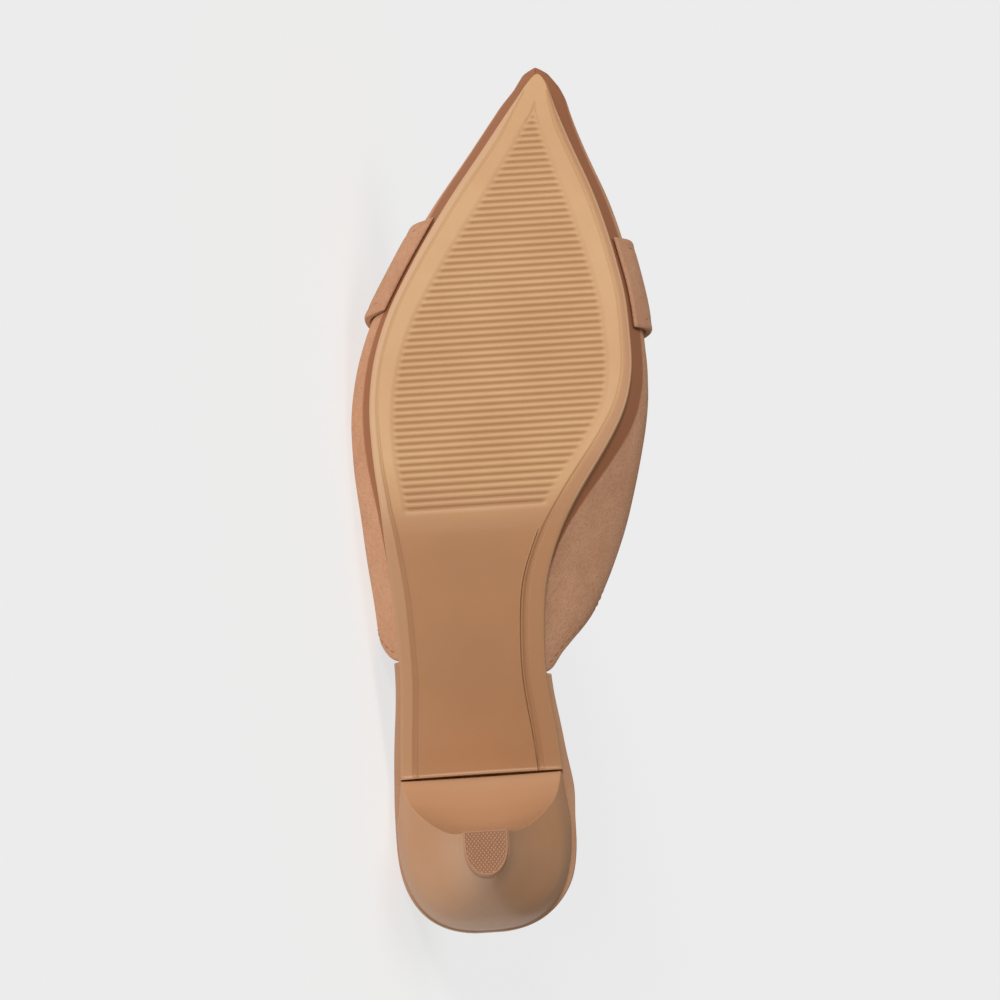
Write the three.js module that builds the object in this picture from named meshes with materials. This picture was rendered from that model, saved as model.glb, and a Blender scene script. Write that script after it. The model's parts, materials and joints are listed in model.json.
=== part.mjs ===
// Mule shoe for the right foot: pointed toe, kitten heel, band across the vamp. It lies on its outer side.
// Millimetres. The pieces are made in the standing shoe's frame: X runs from the back of the seat to the
// toe along the heel's centre line, Y to the inner (medial) side, Z up from the floor under heel and ball.

import * as THREE from "three";
import { ConvexHull } from "three/addons/math/ConvexHull.js";

// Driving sizes of the last
const footLength = 258; // back of the seat to the tip of the toe
const ballWidth = 78; // outsole, outer edge to inner edge round the ball
const seatWidth = 53; // footbed across the seat
const seatReach = 30; // back of the seat to its widest place
const seatRise = 50; // underside of the sole line at the back of the seat, above the floor
const toeSpring = 8; // underside of the sole line at the tip of the toe, above the floor
const instepHeight = 47; // crest of the upper at the throat, above the outsole

// Driving sizes of the sole
const outsoleThickness = 3;
const outsoleReach = 251.5; // back of the seat to the outsole's tip
const breastPlace = 45.5; // back of the seat to the outsole's back end
const soleEdgeRound = 0.8; // bevel along the outsole's lower edge
const borderWidth = 3.2; // sole edge to the groove on the forepart
const waistBorder = 1.6; // how much further in the groove lies at the waist
const grooveWidth = 1.2;
const grooveDepth = 0.6;
const waistCrown = 0.9; // how far the waist bulges down between its edges
const footbedThickness = 3.2;
const footbedRound = 0.9;
const rimOverhang = 2; // footbed rim past the outsole and the heel

// Driving sizes of the heel
const topPieceThickness = 4;
const topPieceWidth = 12.8;
const topPieceLength = 13.2;
const topPiecePlace = 9.3; // back of the seat to the back of the top piece
const topPieceTaper = 0.25; // how much wider the heel's tip is than the top piece, on each side
const breastScoop = 3.2; // depth of the hollow in the heel's breast
const heelSideBulge = 1.2; // how much wider the heel's top is behind its breast, on each side

// Driving sizes of the upper and the band
const wall = 1.8; // suede and lining together
const sideBulge = 5.5; // widest line of the upper past the sole edge
const archFlare = 14; // how much further the inner wing leans out over the arch
const sideHeight = 13; // widest line of the upper above the outsole, at the ball
const noseLift = 3.4; // how far the lasted edge turns up at the tip of the toe
const featherInset = 0.6; // sole edge to the foot of the upper
const throatPlace = 163; // back of the seat to the middle of the throat
const outerWingPlace = 78.6; // back of the seat to the outer wing's end on the sole
const innerWingPlace = 75.4; // back of the seat to the inner wing's end on the sole
const bandThickness = 2.4;
const bandEndThickness = 1.3; // where the band meets the sole
const bandWidth = 28.5;
const bandOuterPlace = 180.6; // back of the seat to the band's back edge, on the outer side
const bandInnerPlace = 170.6; // the same on the inner side
const bandLift = 2; // band ends above the sole edge

const seatGap = 0.3; // gap between curved pieces that rest on each other
const wingStep = 0.9; // length along which the footbed's rim steps in behind a wing's end

// Densities in grams for each cubic millimetre, for the balance point
const leatherDensity = 0.0009;
const rubberDensity = 0.0011;
const plasticDensity = 0.00115;

const restingLean = THREE.MathUtils.degToRad(20); // the most that the side it lies on leans from upright

// Facets
const archSteps = 32; // facets of the upper from sole edge to sole edge, an even number
const vampSteps = 26; // facets of the upper from topline to toe
const soleSteps = 44;
const footbedSteps = 52;
const heelSideSteps = 9;
const breastSteps = 8;
const bandSteps = 8;

// Sole edges: at is a share of the foot length, the edges are shares of the ball width from the heel's
// centre line, outer side negative.
const edgeSections = [
  { at: 0.15, outer: -0.312, inner: 0.319 },
  { at: 0.21, outer: -0.301, inner: 0.29 },
  { at: 0.29, outer: -0.281, inner: 0.271 },
  { at: 0.36, outer: -0.287, inner: 0.286 },
  { at: 0.42, outer: -0.303, inner: 0.347 },
  { at: 0.47, outer: -0.313, inner: 0.441 },
  { at: 0.52, outer: -0.328, inner: 0.558 },
  { at: 0.57, outer: -0.332, inner: 0.646 },
  { at: 0.62, outer: -0.314, inner: 0.677 },
  { at: 0.68, outer: -0.256, inner: 0.674 },
  { at: 0.75, outer: -0.136, inner: 0.64 },
  { at: 0.82, outer: 0.008, inner: 0.585 },
  { at: 0.89, outer: 0.171, inner: 0.508 },
  { at: 0.95, outer: 0.308, inner: 0.45 },
  { at: 0.966, outer: 0.347, inner: 0.44 },
  { at: 0.975, outer: 0.384, inner: 0.421 },
];

// Sole line: rise is a share of the seat's rise, spring a share of the toe spring, crown a share of the
// waist's crown, border a share of what the groove moves in at the waist, lift a share of the nose lift.
const soleLine = [
  { at: 0, rise: 1, spring: 0, crown: 1, border: 1, lift: 0 },
  { at: 0.06, rise: 0.966, spring: 0, crown: 1, border: 1, lift: 0 },
  { at: 0.12, rise: 0.904, spring: 0, crown: 1, border: 1, lift: 0 },
  { at: 0.18, rise: 0.812, spring: 0, crown: 1, border: 1, lift: 0 },
  { at: 0.21, rise: 0.73, spring: 0, crown: 1, border: 1, lift: 0 },
  { at: 0.29, rise: 0.488, spring: 0, crown: 1, border: 1, lift: 0 },
  { at: 0.36, rise: 0.293, spring: 0, crown: 1, border: 1, lift: 0 },
  { at: 0.42, rise: 0.156, spring: 0, crown: 0.7, border: 0.6, lift: 0 },
  { at: 0.47, rise: 0.066, spring: 0, crown: 0.2, border: 0.2, lift: 0 },
  { at: 0.52, rise: 0.014, spring: 0, crown: 0, border: 0, lift: 0 },
  { at: 0.57, rise: 0, spring: 0, crown: 0, border: 0, lift: 0 },
  { at: 0.68, rise: 0, spring: 0, crown: 0, border: 0, lift: 0 },
  { at: 0.75, rise: 0, spring: 0.05, crown: 0, border: 0, lift: 0 },
  { at: 0.82, rise: 0, spring: 0.2, crown: 0, border: 0, lift: 0 },
  { at: 0.89, rise: 0, spring: 0.46, crown: 0, border: 0, lift: 0 },
  { at: 0.95, rise: 0, spring: 0.75, crown: 0, border: 0, lift: 0 },
  { at: 0.965, rise: 0, spring: 0.82, crown: 0, border: 0, lift: 0.05 },
  { at: 0.99, rise: 0, spring: 0.95, crown: 0, border: 0, lift: 0.5 },
  { at: 1, rise: 0, spring: 1, crown: 0, border: 0, lift: 1 },
];

// Sections of the upper: outer and inner are bulges as shares of the side bulge, flare is a share of the
// arch flare, the two heights of the widest line are shares of the side height, top is a share of the instep
// height, and crest is where the ridge lies between the outer (0) and the inner (1) widest line.
const upperSections = [
  { at: 0.29, outer: 0.3, inner: 0.25, flare: 0.02, outerHigh: 0.5, innerHigh: 0.7, top: 1.6, crest: 0.5 },
  { at: 0.34, outer: 1, inner: 0.8, flare: 0.58, outerHigh: 1, innerHigh: 1.5, top: 1.53, crest: 0.5 },
  { at: 0.39, outer: 1.04, inner: 0.95, flare: 0.91, outerHigh: 1, innerHigh: 1.95, top: 1.45, crest: 0.51 },
  { at: 0.44, outer: 1.09, inner: 1, flare: 0.92, outerHigh: 0.9, innerHigh: 2.05, top: 1.35, crest: 0.52 },
  { at: 0.5, outer: 1.1, inner: 1, flare: 0.44, outerHigh: 0.76, innerHigh: 1.75, top: 1.24, crest: 0.54 },
  { at: 0.57, outer: 1.05, inner: 0.9, flare: 0.06, outerHigh: 0.68, innerHigh: 1.3, top: 1.11, crest: 0.56 },
  { at: 0.65, outer: 0.98, inner: 0.92, flare: 0, outerHigh: 0.66, innerHigh: 1.1, top: 0.97, crest: 0.56 },
  { at: 0.74, outer: 0.98, inner: 0.95, flare: 0, outerHigh: 0.66, innerHigh: 1, top: 0.82, crest: 0.54 },
  { at: 0.83, outer: 1.05, inner: 1, flare: 0, outerHigh: 0.62, innerHigh: 0.85, top: 0.67, crest: 0.52 },
  { at: 0.91, outer: 0.98, inner: 0.93, flare: 0, outerHigh: 0.55, innerHigh: 0.68, top: 0.52, crest: 0.5 },
  { at: 0.965, outer: 0.95, inner: 0.92, flare: 0, outerHigh: 0.45, innerHigh: 0.45, top: 0.38, crest: 0.5 },
  { at: 0.985, outer: 0.72, inner: 0.72, flare: 0, outerHigh: 0.3, innerHigh: 0.3, top: 0.3, crest: 0.5 },
  { at: 0.996, outer: 0.42, inner: 0.42, flare: 0, outerHigh: 0.2, innerHigh: 0.2, top: 0.23, crest: 0.5 },
  { at: 1, outer: 0.02, inner: 0.02, flare: 0, outerHigh: 0.15, innerHigh: 0.15, top: 0.17, crest: 0.5 },
];

// Topline: turn runs over the foot from the outer sole edge (0) to the inner one (1), back is the share of
// the way from the wing's end on that side (0) to the throat (1).
const topline = [
  { turn: 0, back: 0 },
  { turn: 0.07, back: 0.025 },
  { turn: 0.16, back: 0.11 },
  { turn: 0.25, back: 0.31 },
  { turn: 0.34, back: 0.6 },
  { turn: 0.42, back: 0.87 },
  { turn: 0.5, back: 1 },
  { turn: 0.58, back: 0.89 },
  { turn: 0.66, back: 0.67 },
  { turn: 0.75, back: 0.44 },
  { turn: 0.84, back: 0.26 },
  { turn: 0.93, back: 0.1 },
  { turn: 1, back: 0 },
];

// Heel levels: drop runs from the seat (0) to the top piece (1), front is the share of the way from the top
// piece's front to the breast, back the share from the top piece's back to the seat's back, half the share
// of the half width from the top piece to the seat, scoop a share of the breast's hollow.
const heelLevels = [
  { drop: 0, front: 1, back: 1, half: 1, scoop: 0 },
  { drop: 0.075, front: 0.99, back: 1, half: 0.985, scoop: 0.05 },
  { drop: 0.16, front: 0.83, back: 0.98, half: 0.94, scoop: 0.5 },
  { drop: 0.26, front: 0.64, back: 0.94, half: 0.86, scoop: 0.9 },
  { drop: 0.38, front: 0.45, back: 0.86, half: 0.7, scoop: 1 },
  { drop: 0.5, front: 0.29, back: 0.73, half: 0.52, scoop: 0.8 },
  { drop: 0.63, front: 0.16, back: 0.56, half: 0.34, scoop: 0.5 },
  { drop: 0.77, front: 0.07, back: 0.34, half: 0.18, scoop: 0.25 },
  { drop: 0.9, front: 0.02, back: 0.13, half: 0.06, scoop: 0.08 },
  { drop: 1, front: 0, back: 0, half: 0, scoop: 0 },
];

// Shape constants of the curves
const seatPower = 2.6; // superellipse round the back of the seat
const topPiecePower = 2.1; // superellipse round the back of the top piece
const heelStraightShare = 0.3; // share of a heel level that runs straight back from the breast
const featherAngle = THREE.MathUtils.degToRad(52); // how steeply the upper leaves the sole
const lowerPull = 0.4; // fullness of the upper below its widest line
const sideFullness = 0.5; // fullness of the upper's sides above the widest line
const crestFullness = 0.5; // fullness of the upper across its crest
const noseBlunt = 0.03; // square of the share of the nose's width that is left at its tip
const tipCrowding = 1.35; // how much closer the facets lie towards the toe
const normalStep = 0.02; // millimetres for a slope along the shoe
const turnStep = 0.0005; // turn share for a slope across the shoe

// Smooth curves that keep level stretches level
function monotoneCurve(rows, across, column) {
  const places = rows.map((row) => row[across]);
  const values = rows.map((row) => row[column]);
  const slopes = [];
  for (let i = 0; i < rows.length - 1; i += 1) {
    slopes.push((values[i + 1] - values[i]) / (places[i + 1] - places[i]));
  }
  const tangents = rows.map((row, i) => {
    if (i === 0) return slopes[0];
    if (i === rows.length - 1) return slopes[slopes.length - 1];
    if (slopes[i - 1] * slopes[i] <= 0) return 0;
    return (2 * slopes[i - 1] * slopes[i]) / (slopes[i - 1] + slopes[i]);
  });
  return (place) => {
    const p = THREE.MathUtils.clamp(place, places[0], places[places.length - 1]);
    let i = 0;
    while (i < rows.length - 2 && p > places[i + 1]) i += 1;
    const span = places[i + 1] - places[i];
    const t = (p - places[i]) / span;
    const h00 = (1 + 2 * t) * (1 - t) ** 2;
    const h10 = t * (1 - t) ** 2;
    const h01 = t * t * (3 - 2 * t);
    const h11 = t * t * (t - 1);
    return h00 * values[i] + h10 * span * tangents[i] + h01 * values[i + 1] + h11 * span * tangents[i + 1];
  };
}

function alongFoot(rows, column) {
  const curve = monotoneCurve(rows, "at", column);
  return (x) => curve(x / footLength);
}

const outerEdgeShare = alongFoot(edgeSections, "outer");
const innerEdgeShare = alongFoot(edgeSections, "inner");
const riseShare = alongFoot(soleLine, "rise");
const springShare = alongFoot(soleLine, "spring");
const crownShare = alongFoot(soleLine, "crown");
const borderShare = alongFoot(soleLine, "border");
const liftShare = alongFoot(soleLine, "lift");
const upperShare = Object.fromEntries(
  ["outer", "inner", "flare", "outerHigh", "innerHigh", "top", "crest"].map((column) => [
    column,
    alongFoot(upperSections, column),
  ]),
);
const toplineShare = monotoneCurve(topline, "turn", "back");

// Sole line and edges
const soleBottom = (x) => riseShare(x) * seatRise + springShare(x) * toeSpring;
const soleTop = (x) => soleBottom(x) + outsoleThickness;
const pieceFloor = (x) => soleTop(x) + seatGap;
const outerEdge = (x) => outerEdgeShare(x) * ballWidth;
const innerEdge = (x) => innerEdgeShare(x) * ballWidth;

function slopeOf(edge, x) {
  return (edge(x + normalStep) - edge(x - normalStep)) / (2 * normalStep);
}

// A line at a distance inside a sole edge, measured square to that edge
function insideEdge(edge, side, x, distance) {
  return edge(x) - side * distance * Math.hypot(1, slopeOf(edge, x));
}

// Solids are collected as points and faces
class Surface {
  constructor() {
    this.points = [];
    this.faces = [];
  }

  add(point) {
    this.points.push(point);
    return this.points.length - 1;
  }

  addRow(row) {
    return row.map((point) => this.add(point));
  }

  triangle(a, b, c) {
    this.faces.push(a, b, c);
  }

  quad(a, b, c, d) {
    this.triangle(a, b, c);
    this.triangle(a, c, d);
  }

  strip(first, second) {
    for (let i = 0; i < first.length - 1; i += 1) {
      this.quad(first[i], second[i], second[i + 1], first[i + 1]);
    }
  }

  geometry() {
    const geometry = new THREE.BufferGeometry();
    const numbers = this.points.flatMap((point) => point.toArray());
    geometry.setAttribute("position", new THREE.Float32BufferAttribute(numbers, 3));
    geometry.setIndex(this.faces);
    geometry.computeVertexNormals();
    return geometry;
  }
}

// A flat end across a ring that lies square to the shoe's length, as a fan from the ring's outer side
function closeRing(surface, ids, facing) {
  const count = ids.length;
  for (let i = 2; i < count; i += 1) {
    const next = ids[(i + 1) % count];
    if (facing > 0) surface.triangle(ids[1], next, ids[i]);
    else surface.triangle(ids[1], ids[i], next);
  }
}

// A closed solid through rings along the shoe, each ring running up the outer side and over to the inner one
function loftAlong(rings) {
  const surface = new Surface();
  const rows = rings.map((ring) => surface.addRow(ring));
  for (let i = 0; i < rows.length - 1; i += 1) {
    surface.strip([...rows[i], rows[i][0]], [...rows[i + 1], rows[i + 1][0]]);
  }
  closeRing(surface, rows[0], -1);
  closeRing(surface, rows[rows.length - 1], 1);
  return surface.geometry();
}

// Outsole: a bevelled plate with a groove inside its edge and a crown at the waist
function outsoleRing(x, cut) {
  const top = soleTop(x);
  const bottom = soleBottom(x);
  const outer = outerEdge(x);
  const inner = innerEdge(x);
  const middle = (outer + inner) / 2;
  const half = (inner - outer) / 2;
  const groove = Math.min(borderWidth + waistBorder * borderShare(x), half * 0.6);
  const narrowing = Math.min(1, half / (3 * groove));
  const bevel = soleEdgeRound * Math.min(1, half / (3 * soleEdgeRound));
  const halfGroove = (grooveWidth / 2) * narrowing;
  const crown = waistCrown * crownShare(x);
  const under = (y, lift = 0) => {
    const across = (y - middle) / half;
    return new THREE.Vector3(x, y, bottom + lift - crown * (1 - across * across));
  };
  const outerGroove = Math.min(insideEdge(outerEdge, -1, x, groove), middle - half * 0.35);
  const innerGroove = Math.max(insideEdge(innerEdge, 1, x, groove), middle + half * 0.35);
  const ring = [];
  ring.push(under(outer + bevel));
  ring.push(new THREE.Vector3(x, outer, bottom + bevel));
  ring.push(new THREE.Vector3(x, outer, top));
  ring.push(new THREE.Vector3(x, inner, top));
  ring.push(new THREE.Vector3(x, inner, bottom + bevel));
  ring.push(under(inner - bevel));
  ring.push(under(innerGroove + halfGroove));
  ring.push(under(innerGroove, cut * grooveDepth * narrowing));
  ring.push(under(innerGroove - halfGroove));
  ring.push(under(middle + (innerGroove - middle) * 0.5));
  ring.push(under(middle));
  ring.push(under(middle + (outerGroove - middle) * 0.5));
  ring.push(under(outerGroove + halfGroove));
  ring.push(under(outerGroove, cut * grooveDepth * narrowing));
  ring.push(under(outerGroove - halfGroove));
  return ring;
}

function makeOutsole() {
  const rings = [outsoleRing(breastPlace, 0)];
  const back = breastPlace + grooveWidth;
  for (let i = 0; i < soleSteps; i += 1) {
    const share = 1 - (1 - i / soleSteps) ** tipCrowding;
    rings.push(outsoleRing(back + (outsoleReach - back) * share, 1));
  }
  rings.push(outsoleRing(outsoleReach, 0));
  return loftAlong(rings);
}

// Upper: the section at one place along the shoe, four curves from sole edge over the foot to sole edge
function bezier(a, b, c, d, t) {
  const s = 1 - t;
  return s * s * s * a + 3 * s * s * t * b + 3 * s * t * t * c + t * t * t * d;
}

function wingEnd(turn) {
  return outerWingPlace + (innerWingPlace - outerWingPlace) * turn;
}

function toplinePlace(turn) {
  return wingEnd(turn) + (throatPlace - wingEnd(turn)) * toplineShare(turn);
}

// Past the outsole's tip the two sides close round the nose
function noseShare(x) {
  const past = Math.max(0, x - outsoleReach) / (footLength - outsoleReach);
  return Math.sqrt(Math.max(noseBlunt, 1 - past * past));
}

function sideOfUpper(x, side) {
  const isOuter = side < 0;
  const place = Math.min(x, outsoleReach);
  const middle = (outerEdge(place) + innerEdge(place)) / 2;
  const edge = middle + ((isOuter ? outerEdge : innerEdge)(place) - middle) * noseShare(x);
  const flare = isOuter ? 0 : archFlare * upperShare.flare(x);
  const bulge = sideBulge * upperShare[isOuter ? "outer" : "inner"](x) + flare;
  return {
    foot: edge - side * Math.min(featherInset, Math.abs(edge - middle) / 2),
    widest: edge + side * bulge,
    high: sideHeight * upperShare[isOuter ? "outerHigh" : "innerHigh"](x),
  };
}

const widestTurn = 0.16; // turn share at which a side reaches its widest line

function upperPoint(x, turn) {
  const outer = sideOfUpper(x, -1);
  const inner = sideOfUpper(x, 1);
  const floor = pieceFloor(x) + noseLift * liftShare(x);
  const top = pieceFloor(x) + instepHeight * upperShare.top(x);
  const crest = outer.widest + (inner.widest - outer.widest) * upperShare.crest(x);
  const side = turn < 0.5 ? outer : inner;
  const way = turn < 0.5 ? -1 : 1;
  const fromFoot = turn < 0.5 ? turn : 1 - turn;
  const belt = floor + Math.min(side.high, (top - floor) * 0.6);
  if (fromFoot < widestTurn) {
    const t = fromFoot / widestTurn;
    const reach = Math.hypot(side.widest - side.foot, belt - floor) * lowerPull;
    const startY = side.foot + way * reach * Math.cos(featherAngle);
    const startZ = floor + reach * Math.sin(featherAngle);
    const y = bezier(side.foot, startY, side.widest, side.widest, t);
    const z = bezier(floor, startZ, belt - (belt - floor) * lowerPull, belt, t);
    return new THREE.Vector3(x, y, z);
  }
  const t = (fromFoot - widestTurn) / (0.5 - widestTurn);
  const y = bezier(side.widest, side.widest, crest + (side.widest - crest) * crestFullness, crest, t);
  const z = bezier(belt, belt + (top - belt) * sideFullness, top, top, t);
  return new THREE.Vector3(x, y, z);
}

function upperNormal(x, turn) {
  const along = upperPoint(x + normalStep, turn).sub(upperPoint(x - normalStep, turn));
  const before = upperPoint(x, Math.max(0, turn - turnStep));
  const after = upperPoint(x, Math.min(1, turn + turnStep));
  return along.cross(after.sub(before)).normalize();
}

// The wall's inner face. At the sole it is moved level, so that the wall's foot lies flat on the outsole.
function insideUpper(x, turn, thickness) {
  const point = upperPoint(x, turn);
  const normal = upperNormal(x, turn);
  if (turn > 0 && turn < 1) return point.addScaledVector(normal, -thickness);
  const level = Math.hypot(normal.x, normal.y);
  return point.add(new THREE.Vector3(normal.x, normal.y, 0).multiplyScalar(-thickness / (level * level)));
}

function upperGrid(tip, place) {
  const rows = [];
  for (let i = 0; i <= vampSteps; i += 1) {
    const share = 1 - (1 - i / vampSteps) ** tipCrowding;
    const row = [];
    for (let j = 0; j <= archSteps; j += 1) {
      const turn = j / archSteps;
      const back = toplinePlace(turn);
      row.push(place(back + (tip - back) * share, turn));
    }
    rows.push(row);
  }
  return rows;
}

// Where the hollow inside the toe ends: there is still room between its two walls at the sole
function hollowTip() {
  let x = footLength;
  while (sideOfUpper(x, 1).foot - sideOfUpper(x, -1).foot < 3.4 * wall) x -= wall / 8;
  return x;
}

// Two sheets with a rim round them make one shell, and turned ladders close both toe ends
function closeToe(surface, ids) {
  const last = ids.length - 1;
  for (let j = 0; j < last / 2 - 1; j += 1) {
    surface.quad(ids[j + 1], ids[j], ids[last - j], ids[last - j - 1]);
  }
  const middle = last / 2;
  surface.triangle(ids[middle], ids[middle - 1], ids[middle + 1]);
}

function sheets(surface, outside, inside) {
  const out = outside.map((row) => surface.addRow(row));
  const within = inside.map((row) => surface.addRow(row));
  for (let i = 0; i < out.length - 1; i += 1) {
    surface.strip(out[i], out[i + 1]);
    surface.strip(within[i + 1], within[i]);
  }
  const last = out[0].length - 1;
  surface.strip(within[0], out[0]);
  surface.strip(
    out.map((row) => row[0]),
    within.map((row) => row[0]),
  );
  surface.strip(
    within.map((row) => row[last]),
    out.map((row) => row[last]),
  );
  return { out, within };
}

function makeUpper() {
  const surface = new Surface();
  const outside = upperGrid(footLength, upperPoint);
  const inside = upperGrid(hollowTip(), (x, turn) => insideUpper(x, turn, wall));
  const { out, within } = sheets(surface, outside, inside);
  const noseOut = out[out.length - 1];
  const noseIn = within[within.length - 1];
  closeToe(surface, noseOut);
  closeToe(surface, [...noseIn].reverse());
  const last = noseOut.length - 1;
  surface.quad(noseOut[last], noseOut[0], noseIn[0], noseIn[last]);
  return surface.geometry();
}

// Band: a thick strip laid over the upper, from just above one sole edge to just above the other
function bandTurns() {
  const turns = [];
  for (let j = 0; j <= archSteps; j += 1) turns.push(j / archSteps);
  const findTurn = (turn, step, height) => {
    let t = turn;
    const x = bandOuterPlace + bandWidth / 2;
    const floor = upperPoint(x, turn).z;
    while (upperPoint(x, t).z - floor < height) t += step;
    return t;
  };
  const first = findTurn(0, turnStep, bandLift);
  const last = findTurn(1, -turnStep, bandLift);
  return turns.map((turn) => first + (last - first) * turn);
}

function makeBand() {
  const surface = new Surface();
  const turns = bandTurns();
  const grid = (lift) => {
    const rows = [];
    for (let i = 0; i <= bandSteps; i += 1) {
      rows.push(
        turns.map((turn) => {
          const back = bandOuterPlace + (bandInnerPlace - bandOuterPlace) * turn;
          const x = back + (bandWidth * i) / bandSteps;
          return upperPoint(x, turn).addScaledVector(upperNormal(x, turn), lift(turn));
        }),
      );
    }
    return rows;
  };
  const outside = (turn) => {
    const full = THREE.MathUtils.smoothstep(Math.min(turn, 1 - turn), turns[0], widestTurn);
    return seatGap + bandEndThickness + (bandThickness - bandEndThickness) * full;
  };
  const { out, within } = sheets(surface, grid(outside), grid(() => seatGap));
  surface.strip(out[out.length - 1], within[within.length - 1]);
  return surface.geometry();
}

// Footbed: its rim shows round the seat, and in front of the wings it fits between the walls
function seatHalf(x) {
  const back = Math.max(0, 1 - x / seatReach);
  return (seatWidth / 2) * (1 - back ** seatPower) ** (1 / seatPower);
}

function rimPlace(x, side) {
  const edge = side < 0 ? outerEdge : innerEdge;
  const waist = edge(x) + side * rimOverhang;
  const blend = THREE.MathUtils.smoothstep(x, seatReach, breastPlace);
  return side * seatHalf(x) * (1 - blend) + waist * blend;
}

function footbedEdge(x, side) {
  const wing = side < 0 ? outerWingPlace : innerWingPlace;
  const rim = new THREE.Vector3(x, rimPlace(x, side), pieceFloor(x));
  if (x <= wing - wingStep) return rim;
  const inWall = insideUpper(Math.max(x, wing), side < 0 ? 0 : 1, wall);
  inWall.y -= side * seatGap * Math.hypot(1, slopeOf(side < 0 ? outerEdge : innerEdge, x));
  return new THREE.Vector3(inWall.x + x - Math.max(x, wing), inWall.y, pieceFloor(inWall.x));
}

function footbedRing(x) {
  const outer = footbedEdge(x, -1);
  const inner = footbedEdge(x, 1);
  const round = Math.min(footbedRound, (inner.y - outer.y) / 4);
  const at = (share, inset, height) => {
    const px = outer.x + (inner.x - outer.x) * share;
    const y = outer.y + (inner.y - outer.y) * share + inset;
    return new THREE.Vector3(px, y, pieceFloor(px) + height);
  };
  return [
    at(0, 0, 0),
    at(0, 0, footbedThickness - round),
    at(0, round, footbedThickness),
    at(0.5, 0, footbedThickness),
    at(1, -round, footbedThickness),
    at(1, 0, footbedThickness - round),
    at(1, 0, 0),
    at(0.5, 0, 0),
  ];
}

function makeInsole() {
  const rings = [];
  const tip = hollowTip() - 2 * wall;
  const wingRings = [outerWingPlace, innerWingPlace].flatMap((wing) => [wing - wingStep, wing - wingStep / 2]);
  const places = [];
  const backSteps = 9;
  for (let i = 0; i < backSteps; i += 1) {
    places.push(0.15 + (seatReach - 0.15) * (1 - Math.cos((i / backSteps) * (Math.PI / 2))));
  }
  for (let i = 0; i <= footbedSteps - backSteps; i += 1) {
    places.push(seatReach + ((tip - seatReach) * i) / (footbedSteps - backSteps));
  }
  const clear = places.filter((x) => wingRings.every((wing) => Math.abs(wing - x) > wingStep));
  for (const x of [...clear, ...wingRings].sort((a, b) => a - b)) rings.push(footbedRing(x));
  return loftAlong(rings);
}

// Heel: levels from the seat down to the top piece
function heelLevel({ front, back, half, bulge, power, scoop }, place) {
  const points = [];
  const side = [];
  for (let i = 0; i <= heelSideSteps; i += 1) {
    const angle = (Math.PI / 2) * (i / heelSideSteps);
    const round = Math.sin(angle) ** (2 / power);
    const share = heelStraightShare + (1 - heelStraightShare) * round;
    const y = (half + bulge) * Math.cos(angle) ** (2 / power);
    side.push({ x: front + (back - front) * share, y });
  }
  side[heelSideSteps].y = 0;
  points.push(place(side[heelSideSteps].x, 0));
  for (let i = heelSideSteps - 1; i >= 0; i -= 1) points.push(place(side[i].x, -side[i].y));
  for (let i = 0; i <= breastSteps; i += 1) {
    const across = (2 * i) / breastSteps - 1;
    points.push(place(front - scoop * (1 - across * across), half * across));
  }
  for (let i = 0; i < heelSideSteps; i += 1) points.push(place(side[i].x, side[i].y));
  return points;
}

// An end of the heel: chords from side to side, and a fan at the breast
function closeLevel(surface, ids, up) {
  const face = (a, b, c) => {
    if (up) surface.triangle(ids[a], ids[b], ids[c]);
    else surface.triangle(ids[a], ids[c], ids[b]);
  };
  const count = ids.length;
  const corner = heelSideSteps;
  face(0, 1, count - 1);
  for (let i = 1; i < corner; i += 1) {
    face(i, i + 1, count - i - 1);
    face(i, count - i - 1, count - i);
  }
  for (let i = corner; i < count - corner - 1; i += 1) face(corner, i + 1, i + 2);
}

function loftDown(levels) {
  const surface = new Surface();
  const rows = levels.map((level) => surface.addRow(level));
  for (let i = 0; i < rows.length - 1; i += 1) {
    surface.strip([...rows[i], rows[i][0]], [...rows[i + 1], rows[i + 1][0]]);
  }
  closeLevel(surface, rows[0], true);
  closeLevel(surface, rows[rows.length - 1], false);
  return surface.geometry();
}

const heelTipHeight = topPieceThickness + seatGap;

function heelShape(level) {
  const tipFront = topPiecePlace + topPieceLength + topPieceTaper;
  const tipBack = topPiecePlace - topPieceTaper;
  const tipHalf = topPieceWidth / 2 + topPieceTaper;
  const seatFront = breastPlace - seatGap;
  const seatBack = seatGap;
  const seatHalfWidth = (innerEdge(breastPlace) - outerEdge(breastPlace)) / 2;
  return {
    front: tipFront + (seatFront - tipFront) * level.front,
    back: tipBack + (seatBack - tipBack) * level.back,
    half: tipHalf + (seatHalfWidth - tipHalf) * level.half,
    bulge: heelSideBulge * level.half,
    power: topPiecePower + (seatPower - topPiecePower) * level.half,
    scoop: breastScoop * level.scoop,
  };
}

function makeHeel() {
  const levels = heelLevels.map((level) => {
    const height = (x) => soleTop(x) * (1 - level.drop) + heelTipHeight * level.drop;
    return heelLevel(heelShape(level), (x, y) => new THREE.Vector3(x, y, height(x)));
  });
  return loftDown(levels);
}

function makeTopPiece() {
  const front = topPiecePlace + topPieceLength;
  const half = topPieceWidth / 2;
  const shape = { front, back: topPiecePlace, half, bulge: 0, power: topPiecePower, scoop: 0 };
  return loftDown([topPieceThickness, 0].map((z) => heelLevel(shape, (x, y) => new THREE.Vector3(x, y, z))));
}

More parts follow.
